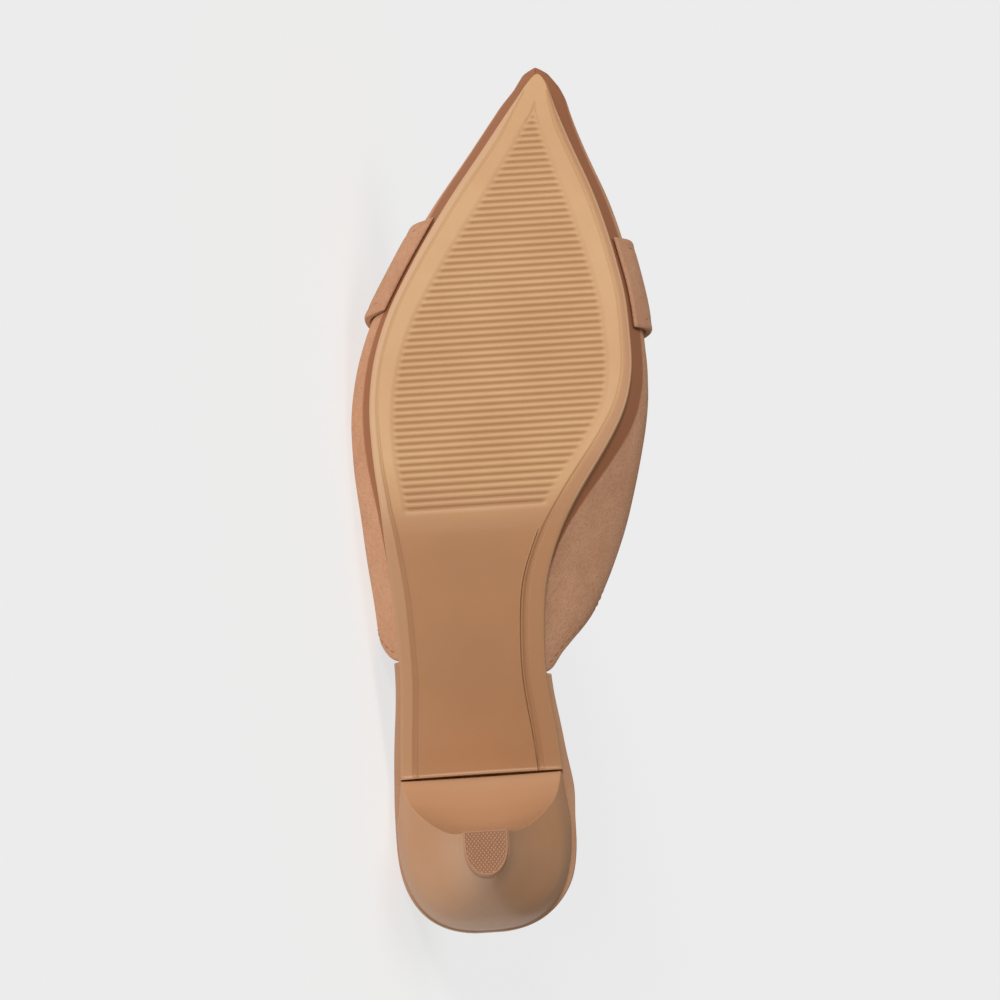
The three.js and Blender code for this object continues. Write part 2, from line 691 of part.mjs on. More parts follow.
// Colours and finish
const finish = {
  outsole: { color: 0xd2ab7c, roughness: 0.5, metalness: 0 },
  heel: { color: 0xb78a64, roughness: 0.22, metalness: 0 },
  top_piece: { color: 0xae7c66, roughness: 0.6, metalness: 0 },
  insole: { color: 0xc99f80, roughness: 0.65, metalness: 0 },
  upper: { color: 0xc48f70, roughness: 0.95, metalness: 0 },
  band: { color: 0xc79474, roughness: 0.95, metalness: 0 },
};

function piece(name, geometry, density) {
  const mesh = new THREE.Mesh(geometry, new THREE.MeshStandardMaterial(finish[name]));
  mesh.name = name;
  mesh.userData.density = density;
  return mesh;
}

const shoe = new THREE.Group();
shoe.add(piece("outsole", makeOutsole(), rubberDensity));
shoe.add(piece("heel", makeHeel(), plasticDensity));
shoe.add(piece("top_piece", makeTopPiece(), rubberDensity));
shoe.add(piece("insole", makeInsole(), leatherDensity));
shoe.add(piece("upper", makeUpper(), leatherDensity));
shoe.add(piece("band", makeBand(), leatherDensity));

// Balance point of the standing shoe, from the volume of each piece
function balancePoint(meshes) {
  const moment = new THREE.Vector3();
  let weight = 0;
  for (const mesh of meshes) {
    const position = mesh.geometry.getAttribute("position");
    const index = mesh.geometry.getIndex();
    const corner = (i) => new THREE.Vector3().fromBufferAttribute(position, index.getX(i));
    for (let i = 0; i < index.count; i += 3) {
      const [a, b, c] = [corner(i), corner(i + 1), corner(i + 2)];
      const share = (a.dot(new THREE.Vector3().crossVectors(b, c)) / 6) * mesh.userData.density;
      moment.addScaledVector(a.add(b).add(c), share / 4);
      weight += share;
    }
  }
  return moment.divideScalar(weight);
}

function allPoints(meshes) {
  return meshes.flatMap((mesh) => {
    const position = mesh.geometry.getAttribute("position");
    const point = (unused, i) => new THREE.Vector3().fromBufferAttribute(position, i);
    return Array.from({ length: position.count }, point);
  });
}

// How far inside a triangle's sides a point of its plane lies
function sideMargin(corners, point) {
  const distances = corners.map((corner, k) => {
    const side = new THREE.Line3(corner, corners[(k + 1) % 3]);
    return side.closestPointToPoint(point, false, new THREE.Vector3()).distanceTo(point);
  });
  return Math.min(...distances);
}

// The shoe lies on that flat side of its hull, of those that face its outer side, that holds its balance
// point best
function restingDirection(meshes) {
  const balance = balancePoint(meshes);
  const hull = new ConvexHull().setFromPoints(allPoints(meshes));
  const outerSide = new THREE.Vector3(0, -1, 0);
  let best = { margin: 0, down: outerSide };
  for (const face of hull.faces) {
    const corners = [0, 1, 2].map((k) => face.getEdge(k).head().point);
    const landing = balance.clone().addScaledVector(face.normal, face.constant - balance.dot(face.normal));
    const upright = face.normal.angleTo(outerSide) < restingLean;
    const holds = new THREE.Triangle(...corners).containsPoint(landing);
    const margin = upright && holds ? sideMargin(corners, landing) : 0;
    if (margin > best.margin) best = { margin, down: face.normal.clone() };
  }
  return best.down;
}

// Laid down: the floor lies below the outer side, the toe points to -X and the sole faces -Y
function layDown(group) {
  const down = restingDirection(group.children);
  const up = down.clone().negate();
  const toHeel = new THREE.Vector3(-1, 0, 0).projectOnPlane(up).normalize();
  const basis = new THREE.Matrix4().makeBasis(toHeel, new THREE.Vector3().crossVectors(up, toHeel), up);
  group.quaternion.setFromRotationMatrix(basis.transpose());
  group.updateMatrixWorld(true);
  const box = new THREE.Box3().setFromObject(group, true);
  group.position.set(-(box.min.x + box.max.x) / 2, -(box.min.y + box.max.y) / 2, -box.min.z);
}

layDown(shoe);

const mule = new THREE.Group();
mule.add(shoe);

export default mule;
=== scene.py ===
import json
import math

import bpy
import numpy as np
from mathutils import Matrix, Vector


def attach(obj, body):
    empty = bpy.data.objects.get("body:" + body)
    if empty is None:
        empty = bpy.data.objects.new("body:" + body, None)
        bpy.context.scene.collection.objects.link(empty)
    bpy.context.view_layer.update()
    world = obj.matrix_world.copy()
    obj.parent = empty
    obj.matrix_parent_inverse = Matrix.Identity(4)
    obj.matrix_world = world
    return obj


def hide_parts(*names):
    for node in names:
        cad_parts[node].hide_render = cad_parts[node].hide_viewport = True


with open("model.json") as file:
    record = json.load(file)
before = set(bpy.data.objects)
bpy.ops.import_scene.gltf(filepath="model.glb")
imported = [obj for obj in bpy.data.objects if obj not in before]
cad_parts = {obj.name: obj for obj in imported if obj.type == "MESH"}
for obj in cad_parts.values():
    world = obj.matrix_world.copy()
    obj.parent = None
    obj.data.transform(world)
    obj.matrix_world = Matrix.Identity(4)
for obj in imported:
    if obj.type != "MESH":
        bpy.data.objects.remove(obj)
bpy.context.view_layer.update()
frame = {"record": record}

# Looks of a right mule shoe. Shapes are worked out in millimetres in the standing shoe's frame: X runs from the
# back of the seat to the toe, Y to the inner side, Z up from the floor under heel and ball. placed() lays them
# down into the row's frame in metres.

# Sizes of the last and the sole. Some edges are fitted closer here than in the solids: the inner wing, the
# footbed's rim, the sole's tip and waist, the nose and the sides of the heel.
FOOT_LENGTH = 258
BALL_WIDTH = 78
SEAT_WIDTH = 53
SEAT_REACH = 30
SEAT_RISE = 50
TOE_SPRING = 8
INSTEP_HEIGHT = 47
OUTSOLE_THICKNESS = 3
OUTSOLE_REACH = 251.5
OUTSOLE_TIP = 253.2
BREAST_PLACE = 45.5
WAIST_CROWN = 0.9
FOOTBED_THICKNESS = 3.2
RIM_OVERHANG = 2
INNER_RIM_EXTRA = 1
WING_OVERHANG = 1.5
WING_STEP = 0.6
TOP_PIECE_THICKNESS = 4
TOP_PIECE_WIDTH = 12.8
TOP_PIECE_LENGTH = 13.2
TOP_PIECE_PLACE = 9.3
TOP_PIECE_TAPER = 0.25
BREAST_SCOOP = 3.2
HEEL_SIDE_BULGE = 1.8
WALL = 1.8
SIDE_BULGE = 5.5
ARCH_FLARE = 14
SIDE_HEIGHT = 13
NOSE_LIFT = 3.4
FEATHER_INSET = 0.6
THROAT_PLACE = 163
OUTER_WING_PLACE = 78.6
INNER_WING_PLACE = 73
BAND_THICKNESS = 2.4
BAND_END_THICKNESS = 1.3
BAND_WIDTH = 28.5
BAND_OUTER_PLACE = 180.6
BAND_INNER_PLACE = 170.6
BAND_LIFT = 2
BAND_SEAM_INSET = 3.2
BAND_SEAM_DIP = 0.16
GAP = 0.3

# Where the two mounts of the record lie on the standing shoe
TREAD_MOUNT = (161, 14, 0)
LIFT_MOUNT = (15.8, 0, 0)

# Shape constants of the curves
SEAT_POWER = 2.6
TOP_PIECE_POWER = 2.1
NOSE_BLUNT = 0.03
NOSE_ROUND = 2.75
NOSE_ROUND_REACH = 2.2
NOSE_TAPER = 0.64
HEEL_STRAIGHT_SHARE = 0.3
FEATHER_ANGLE = math.radians(52)
LOWER_PULL = 0.4
SIDE_FULLNESS = 0.5
CREST_FULLNESS = 0.5
TIP_CROWDING = 1.35
WIDEST_TURN = 0.16
NORMAL_STEP = 0.02
TIP_START = 248.6
TURN_STEP = 0.0005

# Sizes of the fine detail
EDGE_ROUND = 0.8
CHANNEL_DEPTH = 0.4
CHANNEL_SLOPE = 0.22
RIDGE_PITCH = 2.1
RIDGE_DEPTH = 0.5
FIELD_DEPTH = 0.2
FIELD_BACK = 118.2
FIELD_TIP = 245
GRAIN_BACK = 112.5
SUEDE_THICKNESS = 1.15
HEM_INSET = 2.3
STITCH_PITCH = 3.1
STITCH_LENGTH = 2.3
STITCH_RADIUS = 0.17
HATCH_PITCH = 0.85
HATCH_DEPTH = 0.22


def table(names, rows):
    """Named columns of a short table."""
    return dict(zip(names.split(), np.array(rows, float).T))


# Sole edges: at is a share of the foot length, the edges are shares of the ball width from the centre line.
sole_edges = table("at outer inner", [
    (0.15, -0.312, 0.323), (0.21, -0.301, 0.305), (0.29, -0.281, 0.273), (0.36, -0.287, 0.286),
    (0.42, -0.303, 0.347), (0.47, -0.313, 0.441), (0.52, -0.328, 0.558), (0.57, -0.332, 0.646),
    (0.62, -0.314, 0.677), (0.68, -0.256, 0.674), (0.75, -0.136, 0.64), (0.82, 0.008, 0.585),
    (0.89, 0.171, 0.508), (0.95, 0.308, 0.45), (0.966, 0.347, 0.44), (0.985, 0.386, 0.424),
])

# Sole line: shares of the seat's rise, the toe spring, the waist's crown and the nose lift
sole_line = table("at rise spring crown lift", [
    (0, 1, 0, 1, 0), (0.06, 0.966, 0, 1, 0), (0.12, 0.904, 0, 1, 0), (0.18, 0.812, 0, 1, 0),
    (0.21, 0.73, 0, 1, 0), (0.29, 0.488, 0, 1, 0), (0.36, 0.293, 0, 1, 0), (0.42, 0.156, 0, 0.7, 0),
    (0.47, 0.066, 0, 0.2, 0), (0.52, 0.014, 0, 0, 0), (0.57, 0, 0, 0, 0), (0.68, 0, 0, 0, 0),
    (0.75, 0, 0.05, 0, 0), (0.82, 0, 0.2, 0, 0), (0.89, 0, 0.46, 0, 0), (0.95, 0, 0.75, 0, 0),
    (0.965, 0, 0.82, 0, 0.05), (0.99, 0, 0.95, 0, 0.5), (1, 0, 1, 0, 1),
])

# Sections of the upper: bulges, the arch's flare, heights of the widest lines, crest height and crest place
upper_sections = table("at outer inner flare outer_high inner_high top crest", [
    (0.29, 0.3, 0.25, 0.02, 0.5, 0.7, 1.6, 0.5), (0.34, 1, 0.8, 0.58, 1, 1.5, 1.53, 0.5),
    (0.39, 1.04, 0.95, 0.91, 1, 1.95, 1.45, 0.51), (0.44, 1.09, 1, 0.92, 0.9, 2.05, 1.35, 0.52),
    (0.5, 1.1, 1.06, 0.48, 0.76, 1.75, 1.24, 0.54), (0.57, 1.05, 0.96, 0.08, 0.68, 1.3, 1.11, 0.56),
    (0.65, 0.98, 0.92, 0, 0.66, 1.1, 0.97, 0.56), (0.74, 0.98, 0.95, 0, 0.66, 1, 0.82, 0.54),
    (0.83, 1.05, 1, 0, 0.62, 0.85, 0.67, 0.52), (0.91, 0.98, 0.93, 0, 0.55, 0.68, 0.52, 0.5),
    (0.965, 0.95, 0.92, 0, 0.45, 0.45, 0.38, 0.5), (0.985, 0.72, 0.72, 0, 0.3, 0.3, 0.3, 0.5),
    (0.996, 0.42, 0.42, 0, 0.2, 0.2, 0.23, 0.5), (1, 0.02, 0.02, 0, 0.15, 0.15, 0.17, 0.5),
])

# Topline: turn runs over the foot, back is the share of the way from the wing's end to the throat
topline = table("turn back", [
    (0, 0), (0.07, 0.025), (0.16, 0.11), (0.25, 0.31), (0.34, 0.6), (0.42, 0.87), (0.5, 1), (0.58, 0.89),
    (0.66, 0.66), (0.75, 0.41), (0.84, 0.18), (0.93, 0.02), (1, 0),
])

# Heel levels from the seat (0) to the top piece (1)
heel_levels = table("drop front back half scoop", [
    (0, 1, 1, 1, 0), (0.075, 0.99, 1, 0.985, 0.05), (0.16, 0.83, 0.98, 0.94, 0.5),
    (0.26, 0.64, 0.94, 0.86, 0.9), (0.38, 0.45, 0.86, 0.7, 1), (0.5, 0.29, 0.73, 0.52, 0.8),
    (0.63, 0.16, 0.56, 0.34, 0.5), (0.77, 0.07, 0.34, 0.18, 0.25), (0.9, 0.02, 0.13, 0.06, 0.08),
    (1, 0, 0, 0, 0),
])

# Lines inside the sole edge, in millimetres square to it: the channel's middle on each side, the channel's half
# width and the margin of the tread field
sole_margins = table("at outer inner half field", [
    (0.17, 4.4, 6.2, 0.7, 8), (0.25, 4.5, 5.7, 0.7, 8), (0.36, 4.5, 5.6, 0.65, 8), (0.42, 4, 5, 0.55, 7.2),
    (0.47, 2.8, 4.1, 0.4, 6.8), (0.53, 2.4, 3.6, 0.3, 6.3), (0.62, 2.2, 2.8, 0.27, 7.1),
    (0.72, 2.2, 2.4, 0.26, 7.8), (0.8, 2.5, 2.3, 0.26, 8.2), (0.9, 2.5, 2.2, 0.26, 6.8),
    (0.93, 2.4, 2.2, 0.26, 6.3), (0.95, 2.3, 2.2, 0.26, 5.3), (0.985, 2.3, 2.2, 0.26, 4.4),
])


# Steps of the evening out, as shares of its length, with their weights
EASE_STEPS = ((-1, 1), (-0.5, 2), (0, 3), (0.5, 2), (1, 1))
EDGE_EASE = 6
SECTION_EASE = {"flare": 10, "inner": 8, "inner_high": 10, "outer": 5, "outer_high": 5}


def monotone_curve(rows, across, column):
    """A smooth curve through a table's column that keeps level stretches level."""
    places, values = rows[across], rows[column]
    spans = np.diff(places)
    slopes = np.diff(values) / spans
    product = slopes[:-1] * slopes[1:]
    total = slopes[:-1] + slopes[1:]
    middle = np.where(product > 0, 2 * product / np.where(total == 0, 1, total), 0)
    tangents = np.concatenate([slopes[:1], middle, slopes[-1:]])

    def at(place):
        p = np.clip(place, places[0], places[-1])
        i = np.clip(np.searchsorted(places, p) - 1, 0, len(spans) - 1)
        t = (p - places[i]) / spans[i]
        rising = values[i] * (1 + 2 * t) * (1 - t) ** 2 + values[i + 1] * t * t * (3 - 2 * t)
        leaning = tangents[i] * t * (1 - t) ** 2 + tangents[i + 1] * t * t * (t - 1)
        return rising + spans[i] * leaning

    return at


def along_foot(rows, column, ease=0.0):
    """The curve over millimetres; ease is the length over which it is evened out on both sides."""
    curve = monotone_curve(rows, "at", column)
    steps = EASE_STEPS if ease else ((0, 1),)
    total = sum(step[1] for step in steps)

    def at(x):
        x = np.asarray(x, float)
        return sum(curve((x + ease * step) / FOOT_LENGTH) * weight for step, weight in steps) / total

    return at


outer_share, inner_share = (along_foot(sole_edges, column, EDGE_EASE) for column in ("outer", "inner"))
rise, spring, crown, lift = (along_foot(sole_line, column) for column in ("rise", "spring", "crown", "lift"))
section = {
    column: along_foot(upper_sections, column, SECTION_EASE.get(column, 0))
    for column in upper_sections if column != "at"
}
margin = {column: along_foot(sole_margins, column) for column in sole_margins if column != "at"}
topline_share = monotone_curve(topline, "turn", "back")


def smooth(value, low, high):
    t = np.clip((value - low) / (high - low), 0, 1)
    return t * t * (3 - 2 * t)


def sole_bottom(x):
    return rise(x) * SEAT_RISE + spring(x) * TOE_SPRING


def sole_top(x):
    return sole_bottom(x) + OUTSOLE_THICKNESS


def piece_floor(x):
    return sole_top(x) + GAP


def sole_edge(x, side):
    """The sole's edge on one side, rounded off at the tip."""
    outer, inner = outer_share(x) * BALL_WIDTH, inner_share(x) * BALL_WIDTH
    middle = (outer + inner) / 2
    past = np.clip((np.asarray(x, float) - TIP_START) / (OUTSOLE_TIP - TIP_START), 0, 1)
    return middle + ((outer if side < 0 else inner) - middle) * np.sqrt(np.maximum(1e-4, 1 - past * past))


def edge_stretch(x, side):
    """How much longer a step across is than one square to the sole edge."""
    slope = (sole_edge(x + NORMAL_STEP, side) - sole_edge(x - NORMAL_STEP, side)) / (2 * NORMAL_STEP)
    return np.hypot(1, slope)


# The row's frame from the record's two mounts
def row_axes():
    mounts = {mount["name"]: mount for mount in frame["record"]["mounts"]}
    tread, heel_end = (np.array(mounts[name]["pos_m"]) for name in ("tread", "top_lift"))
    z_axis = -np.array(mounts["tread"]["axis"])
    z_axis /= np.linalg.norm(z_axis)
    back = heel_end - tread
    back -= z_axis * (back @ z_axis)
    back /= np.linalg.norm(back)
    turned = np.cross(z_axis, back)
    angle = math.atan2(LIFT_MOUNT[1] - TREAD_MOUNT[1], LIFT_MOUNT[0] - TREAD_MOUNT[0])
    x_axis = math.cos(angle) * back - math.sin(angle) * turned
    y_axis = math.sin(angle) * back + math.cos(angle) * turned
    axes = np.array([x_axis, y_axis, z_axis])
    return axes, tread - np.array(TREAD_MOUNT) @ axes / 1000


AXES, ORIGIN = row_axes()


def placed(points):
    """Points of the standing shoe in millimetres, laid down into the row's frame in metres."""
    return np.asarray(points, float) @ AXES / 1000 + ORIGIN


def unit(vectors):
    return vectors / np.maximum(np.linalg.norm(vectors, axis=-1, keepdims=True), 1e-9)


# Meshes
def grid_faces(ids):
    """Quads of a grid of point numbers, row by row."""
    return np.stack([ids[:-1, :-1], ids[1:, :-1], ids[1:, 1:], ids[:-1, 1:]], -1).reshape(-1, 4)


def tube_faces(points, flip=False):
    """Faces of a closed tube of rings of points, with a lid at both ends."""
    ids = np.arange(points.shape[0] * points.shape[1]).reshape(points.shape[:2])
    sides = grid_faces(np.concatenate([ids, ids[:, :1]], 1))
    faces = [tuple(face) for face in (sides[:, ::-1] if flip else sides)]
    return faces + [tuple(ids[0]), tuple(ids[-1][::-1])]


def make_piece(name, points, faces, material, node=None, marks=None):
    """One piece of the shoe from points in millimetres; marks are values at each point for its material."""
    mesh = bpy.data.meshes.new(name)
    mesh.from_pydata(placed(points.reshape(-1, 3)).tolist(), [], [list(map(int, face)) for face in faces])
    for mark, values in (marks or {}).items():
        attribute = mesh.attributes.new(mark, "FLOAT", "POINT")
        attribute.data.foreach_set("value", np.asarray(values, np.float32).ravel())
    mesh.polygons.foreach_set("use_smooth", [True] * len(mesh.polygons))
    mesh.materials.append(material)
    mesh.update()
    piece = bpy.data.objects.new(name, mesh)
    bpy.context.scene.collection.objects.link(piece)
    if node:
        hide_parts(node)
    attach(piece, "root")
    return piece


def soften(piece, width, angle):
    """A small round along the piece's sharp edges."""
    modifier = piece.modifiers.new("edge_round", "BEVEL")
    modifier.width = width / 1000
    modifier.segments = 2
    modifier.limit_method = "ANGLE"
    modifier.angle_limit = math.radians(angle)
    piece.data.set_sharp_from_angle(angle=math.radians(angle))


# Upper
def bezier(a, b, c, d, t):
    s = 1 - t
    return s * s * s * a + 3 * s * s * t * b + 3 * s * t * t * c + t * t * t * d


def nose_share(x):
    """Past the outsole's tip the two sides close round the nose."""
    past = np.maximum(0, x - OUTSOLE_REACH) / (FOOT_LENGTH - OUTSOLE_REACH)
    return np.sqrt(np.maximum(NOSE_BLUNT, 1 - past * past))


def nose_half(x):
    """Half width of the nose: a round tip on a straight taper."""
    back = np.maximum(0, FOOT_LENGTH - x)
    short = 1 - np.minimum(back / NOSE_ROUND_REACH, 1)
    return NOSE_TAPER * back + NOSE_ROUND * np.sqrt(1 - short * short)


def nose_fold(x):
    """In front of the sole's tip the two feet of the upper meet in the middle."""
    return smooth(x, 249, 252.2)


def side_of_upper(x, side):
    outer = side < 0
    place = np.minimum(x, OUTSOLE_REACH)
    middle = (sole_edge(place, -1) + sole_edge(place, 1)) / 2
    edge = middle + (sole_edge(place, side) - middle) * nose_share(x)
    flare = 0 if outer else ARCH_FLARE * section["flare"](x)
    bulge = SIDE_BULGE * section["outer" if outer else "inner"](x) + flare
    high = SIDE_HEIGHT * section["outer_high" if outer else "inner_high"](x)
    foot = edge - side * np.minimum(FEATHER_INSET, np.abs(edge - middle) / 2)
    foot = foot + (middle + side * 0.04 - foot) * nose_fold(x)
    widest = edge + side * bulge
    widest = widest + (middle + side * nose_half(x) - widest) * smooth(x, FOOT_LENGTH - 15, FOOT_LENGTH - 7.5)
    return foot, widest, high


def upper_point(x, turn):
    x, turn = np.broadcast_arrays(np.asarray(x, float), np.asarray(turn, float))
    outer_foot, outer_widest, outer_high = side_of_upper(x, -1)
    inner_foot, inner_widest, inner_high = side_of_upper(x, 1)
    floor = piece_floor(x) + NOSE_LIFT * lift(x)
    top = piece_floor(x) + INSTEP_HEIGHT * section["top"](x)
    crest = outer_widest + (inner_widest - outer_widest) * section["crest"](x)
    is_outer = turn < 0.5
    way = np.where(is_outer, -1, 1)
    from_foot = np.where(is_outer, turn, 1 - turn)
    foot = np.where(is_outer, outer_foot, inner_foot)
    widest = np.where(is_outer, outer_widest, inner_widest)
    high = np.where(is_outer, outer_high, inner_high)
    belt = floor + np.minimum(high, (top - floor) * 0.6)
    low = np.clip(from_foot / WIDEST_TURN, 0, 1)
    reach = np.hypot(widest - foot, belt - floor) * LOWER_PULL
    angle = FEATHER_ANGLE * (1 - nose_fold(x))
    low_y = bezier(foot, foot + way * reach * np.cos(angle), widest, widest, low)
    low_z = bezier(floor, floor + reach * np.sin(angle), belt - (belt - floor) * LOWER_PULL, belt, low)
    over = np.clip((from_foot - WIDEST_TURN) / (0.5 - WIDEST_TURN), 0, 1)
    over_y = bezier(widest, widest, crest + (widest - crest) * CREST_FULLNESS, crest, over)
    over_z = bezier(belt, belt + (top - belt) * SIDE_FULLNESS, top, top, over)
    is_low = from_foot < WIDEST_TURN
    return np.stack([x, np.where(is_low, low_y, over_y), np.where(is_low, low_z, over_z)], -1)


def upper_normal(x, turn):
    along = upper_point(x + NORMAL_STEP, turn) - upper_point(x - NORMAL_STEP, turn)
    before = upper_point(x, np.maximum(0, turn - TURN_STEP))
    after = upper_point(x, np.minimum(1, turn + TURN_STEP))
    return unit(np.cross(along, after - before))


def inside_upper(x, turn, depth):
    """The surface at a depth in the wall. At the sole it moves level, so that the wall's foot lies flat."""
    x, turn = np.broadcast_arrays(np.asarray(x, float), np.asarray(turn, float))
    point, normal = upper_point(x, turn), upper_normal(x, turn)
    level = normal * (1, 1, 0)
    at_foot = ((turn <= 0) | (turn >= 1))[..., None]
    length = np.maximum(np.sum(level * level, -1, keepdims=True), 0.05)
    return point - np.asarray(depth, float)[..., None] * np.where(at_foot, level / length, normal)


def wing_end(turn):
    return OUTER_WING_PLACE + (INNER_WING_PLACE - OUTER_WING_PLACE) * turn


def topline_place(turn):
    return wing_end(turn) + (THROAT_PLACE - wing_end(turn)) * topline_share(turn)


def hollow_tip():
    x = np.linspace(TIP_START, TIP_START - 20, 400)
    width = side_of_upper(x, 1)[0] - side_of_upper(x, -1)[0]
    return x[np.argmax(width >= 3.4 * WALL)]


# Creases of the upper: where they cross the foot (x, turn), which way they run, and how long, wide and
# deep they are
creases = table("x turn lean length width depth", [
    (112, 0.93, 30, 11, 2.8, 0.12), (121, 0.93, 26, 11, 3, 0.12), (132, 0.94, 34, 10, 2.8, 0.1),
    (101, 0.92, 20, 10, 3, 0.08), (118, 0.08, -24, 10, 2.8, 0.08), (131, 0.08, -28, 10, 3, 0.08),
    (158, 0.88, 16, 14, 3, 0.15), (166, 0.34, -12, 26, 4, 0.3), (168, 0.62, 10, 30, 4, 0.3),
])
ARCH_LENGTH = 150


def crease_depth(x, turn):
    """Soft troughs with a low swelling on both sides."""
    depth = np.zeros(np.broadcast(x, turn).shape)
    for cx, ct, lean, length, width, deep in zip(*creases.values()):
        angle = math.radians(lean)
        across, over = x - cx, (turn - ct) * ARCH_LENGTH
        along = over * math.cos(angle) + across * math.sin(angle)
        off = across * math.cos(angle) - over * math.sin(angle)
        fade = np.exp(-((2 * along / length) ** 2))
        trough = np.exp(-((off / width) ** 2))
        swell = np.exp(-(((np.abs(off) - 2 * width) / width) ** 2))
        depth += deep * fade * (trough - 0.4 * swell)
    return depth


UPPER_ROWS = 170
UPPER_COLUMNS = 210
LIP_STEPS = 6


def wall_grid(tip, depth):
    """Points of a layer of the wall from topline to toe, with their places."""
    share = 1 - (1 - np.linspace(0, 1, UPPER_ROWS + 1)) ** TIP_CROWDING
    turn = np.broadcast_to(np.linspace(0, 1, UPPER_COLUMNS + 1), (UPPER_ROWS + 1, UPPER_COLUMNS + 1))
    back = topline_place(turn)
    x = back + (tip - back) * share[:, None]
    return x, turn, inside_upper(x, turn, depth + crease_depth(x, turn))


def close_toe(ids):
    """Quads across a row of points that faces itself, from side to side."""
    last = len(ids) - 1
    steps = range(last // 2 - 1)
    faces = [(ids[j + 1], ids[j], ids[last - j], ids[last - j - 1]) for j in steps]
    middle = last // 2
    return faces + [(ids[middle], ids[middle - 1], ids[middle + 1])]


def layer_of_wall(outer_depth, inner_depth, outer_tip, inner_tip):
    """A closed sheet of the wall with a round lip along the topline."""
    x, turn, outside = wall_grid(outer_tip, outer_depth)
    inside = wall_grid(inner_tip, inner_depth)[2]
    half = (inner_depth - outer_depth) / 2
    middle = (outside[0] + inside[0]) / 2
    inward = unit(inside[0] - outside[0])
    tangent = unit(np.gradient(outside[0], axis=0))
    back = np.cross(inward, tangent)
    back *= np.sign(np.sum(back * (outside[0] - outside[3]), -1, keepdims=True))
    lips = []
    for k in range(1, LIP_STEPS):
        angle = math.pi * k / LIP_STEPS
        lips.append(middle + inward * half * math.cos(angle) + back * half * math.sin(angle))
    rows = [*inside[::-1], *lips, *outside]
    count = UPPER_COLUMNS + 1
    ids = np.arange(len(rows) * count).reshape(len(rows), count)
    faces = [tuple(face) for face in grid_faces(ids)]
    first_out = UPPER_ROWS + 1 + len(lips)
    for column, flip in ((0, False), (-1, True)):
        outs, ins = ids[first_out:, column], ids[UPPER_ROWS::-1, column]
        for i in range(UPPER_ROWS):
            quad = (outs[i], outs[i + 1], ins[i + 1], ins[i])
            faces.append(quad[::-1] if flip else quad)
        rim = tuple(ids[UPPER_ROWS : first_out + 1, column])
        faces.append(rim if flip else rim[::-1])
    nose_out, nose_in = ids[-1], ids[0]
    faces += close_toe(nose_out)
    faces += close_toe(nose_in[::-1])
    faces.append((nose_out[-1], nose_out[0], nose_in[0], nose_in[-1]))
    blank = np.zeros((UPPER_ROWS + 1 + len(lips), count))
    return np.concatenate(rows), faces, x, turn, outside, blank


def walked(x, turn, step):
    """The place on the upper that lies a small step away in space."""
    reach = 0.4
    along = (upper_point(x + reach, turn) - upper_point(x - reach, turn)) / (2 * reach)
    swing = 0.004
    over = (upper_point(x, turn + swing) - upper_point(x, turn - swing)) / (2 * swing)
    aa, ab, bb = (np.sum(u * v, -1) for u, v in ((along, along), (along, over), (over, over)))
    sa, sb = np.sum(step * along, -1), np.sum(step * over, -1)
    gap = aa * bb - ab * ab
    return x + (sa * bb - sb * ab) / gap, turn + (sb * aa - sa * ab) / gap


def topline_walk(inset, count, first=0.012, last=0.988):
    """Places on the upper along the topline, an inset in front of it."""
    turn = np.linspace(first, last, count)
    x = topline_place(turn)
    edge = upper_point(x, turn)
    ahead = np.cross(upper_normal(x, turn), unit(np.gradient(edge, axis=0)))
    ahead *= np.sign(ahead[:, :1])
    return walked(x, turn, ahead * inset)


def stitches(name, line, normals, pitch, material, sink=0.5):
    """A row of stitches along a line of points, as short threads that dip in at both ends."""
    steps = np.linalg.norm(np.diff(line, axis=0), axis=1)
    run = np.concatenate([[0], np.cumsum(steps)])
    starts = np.arange(pitch / 2, run[-1] - pitch, pitch)
    along = np.linspace(0, 1, 7)
    around = np.arange(6) * math.tau / 6
    points, faces = [], []
    for start in starts:
        places = start + along * STITCH_LENGTH
        spine = np.stack([np.interp(places, run, line[:, k]) for k in range(3)], -1)
        up = unit(np.stack([np.interp(places, run, normals[:, k]) for k in range(3)], -1))
        ahead = unit(np.gradient(spine, axis=0))
        side = unit(np.cross(ahead, up))
        arc = np.sin(along * math.pi)
        spine = spine + up * (STITCH_RADIUS * (arc[:, None] * (0.2 + sink) - sink))
        radius = STITCH_RADIUS * (0.55 + 0.45 * np.sqrt(arc))[:, None, None]
        ring = spine[:, None] + radius * (
            np.cos(around)[:, None] * side[:, None] + np.sin(around)[:, None] * up[:, None]
        )
        base = len(points) * 42
        points.append(ring.reshape(-1, 3))
        ids = base + np.arange(42).reshape(7, 6)
        ids = np.concatenate([ids, ids[:, :1]], 1)
        faces += [tuple(face) for face in grid_faces(ids)[:, ::-1]]
        faces += [tuple(ids[0, :6]), tuple(ids[-1, 5::-1])]
    return make_piece(name, np.concatenate(points), faces, material)


# Materials
def linear(red, green, blue):
    """A screen colour, 0 to 255, as the light that the shader takes."""
    parts = [channel / 255 for channel in (red, green, blue)]
    return tuple(p / 12.92 if p <= 0.04045 else ((p + 0.055) / 1.055) ** 2.4 for p in parts) + (1,)


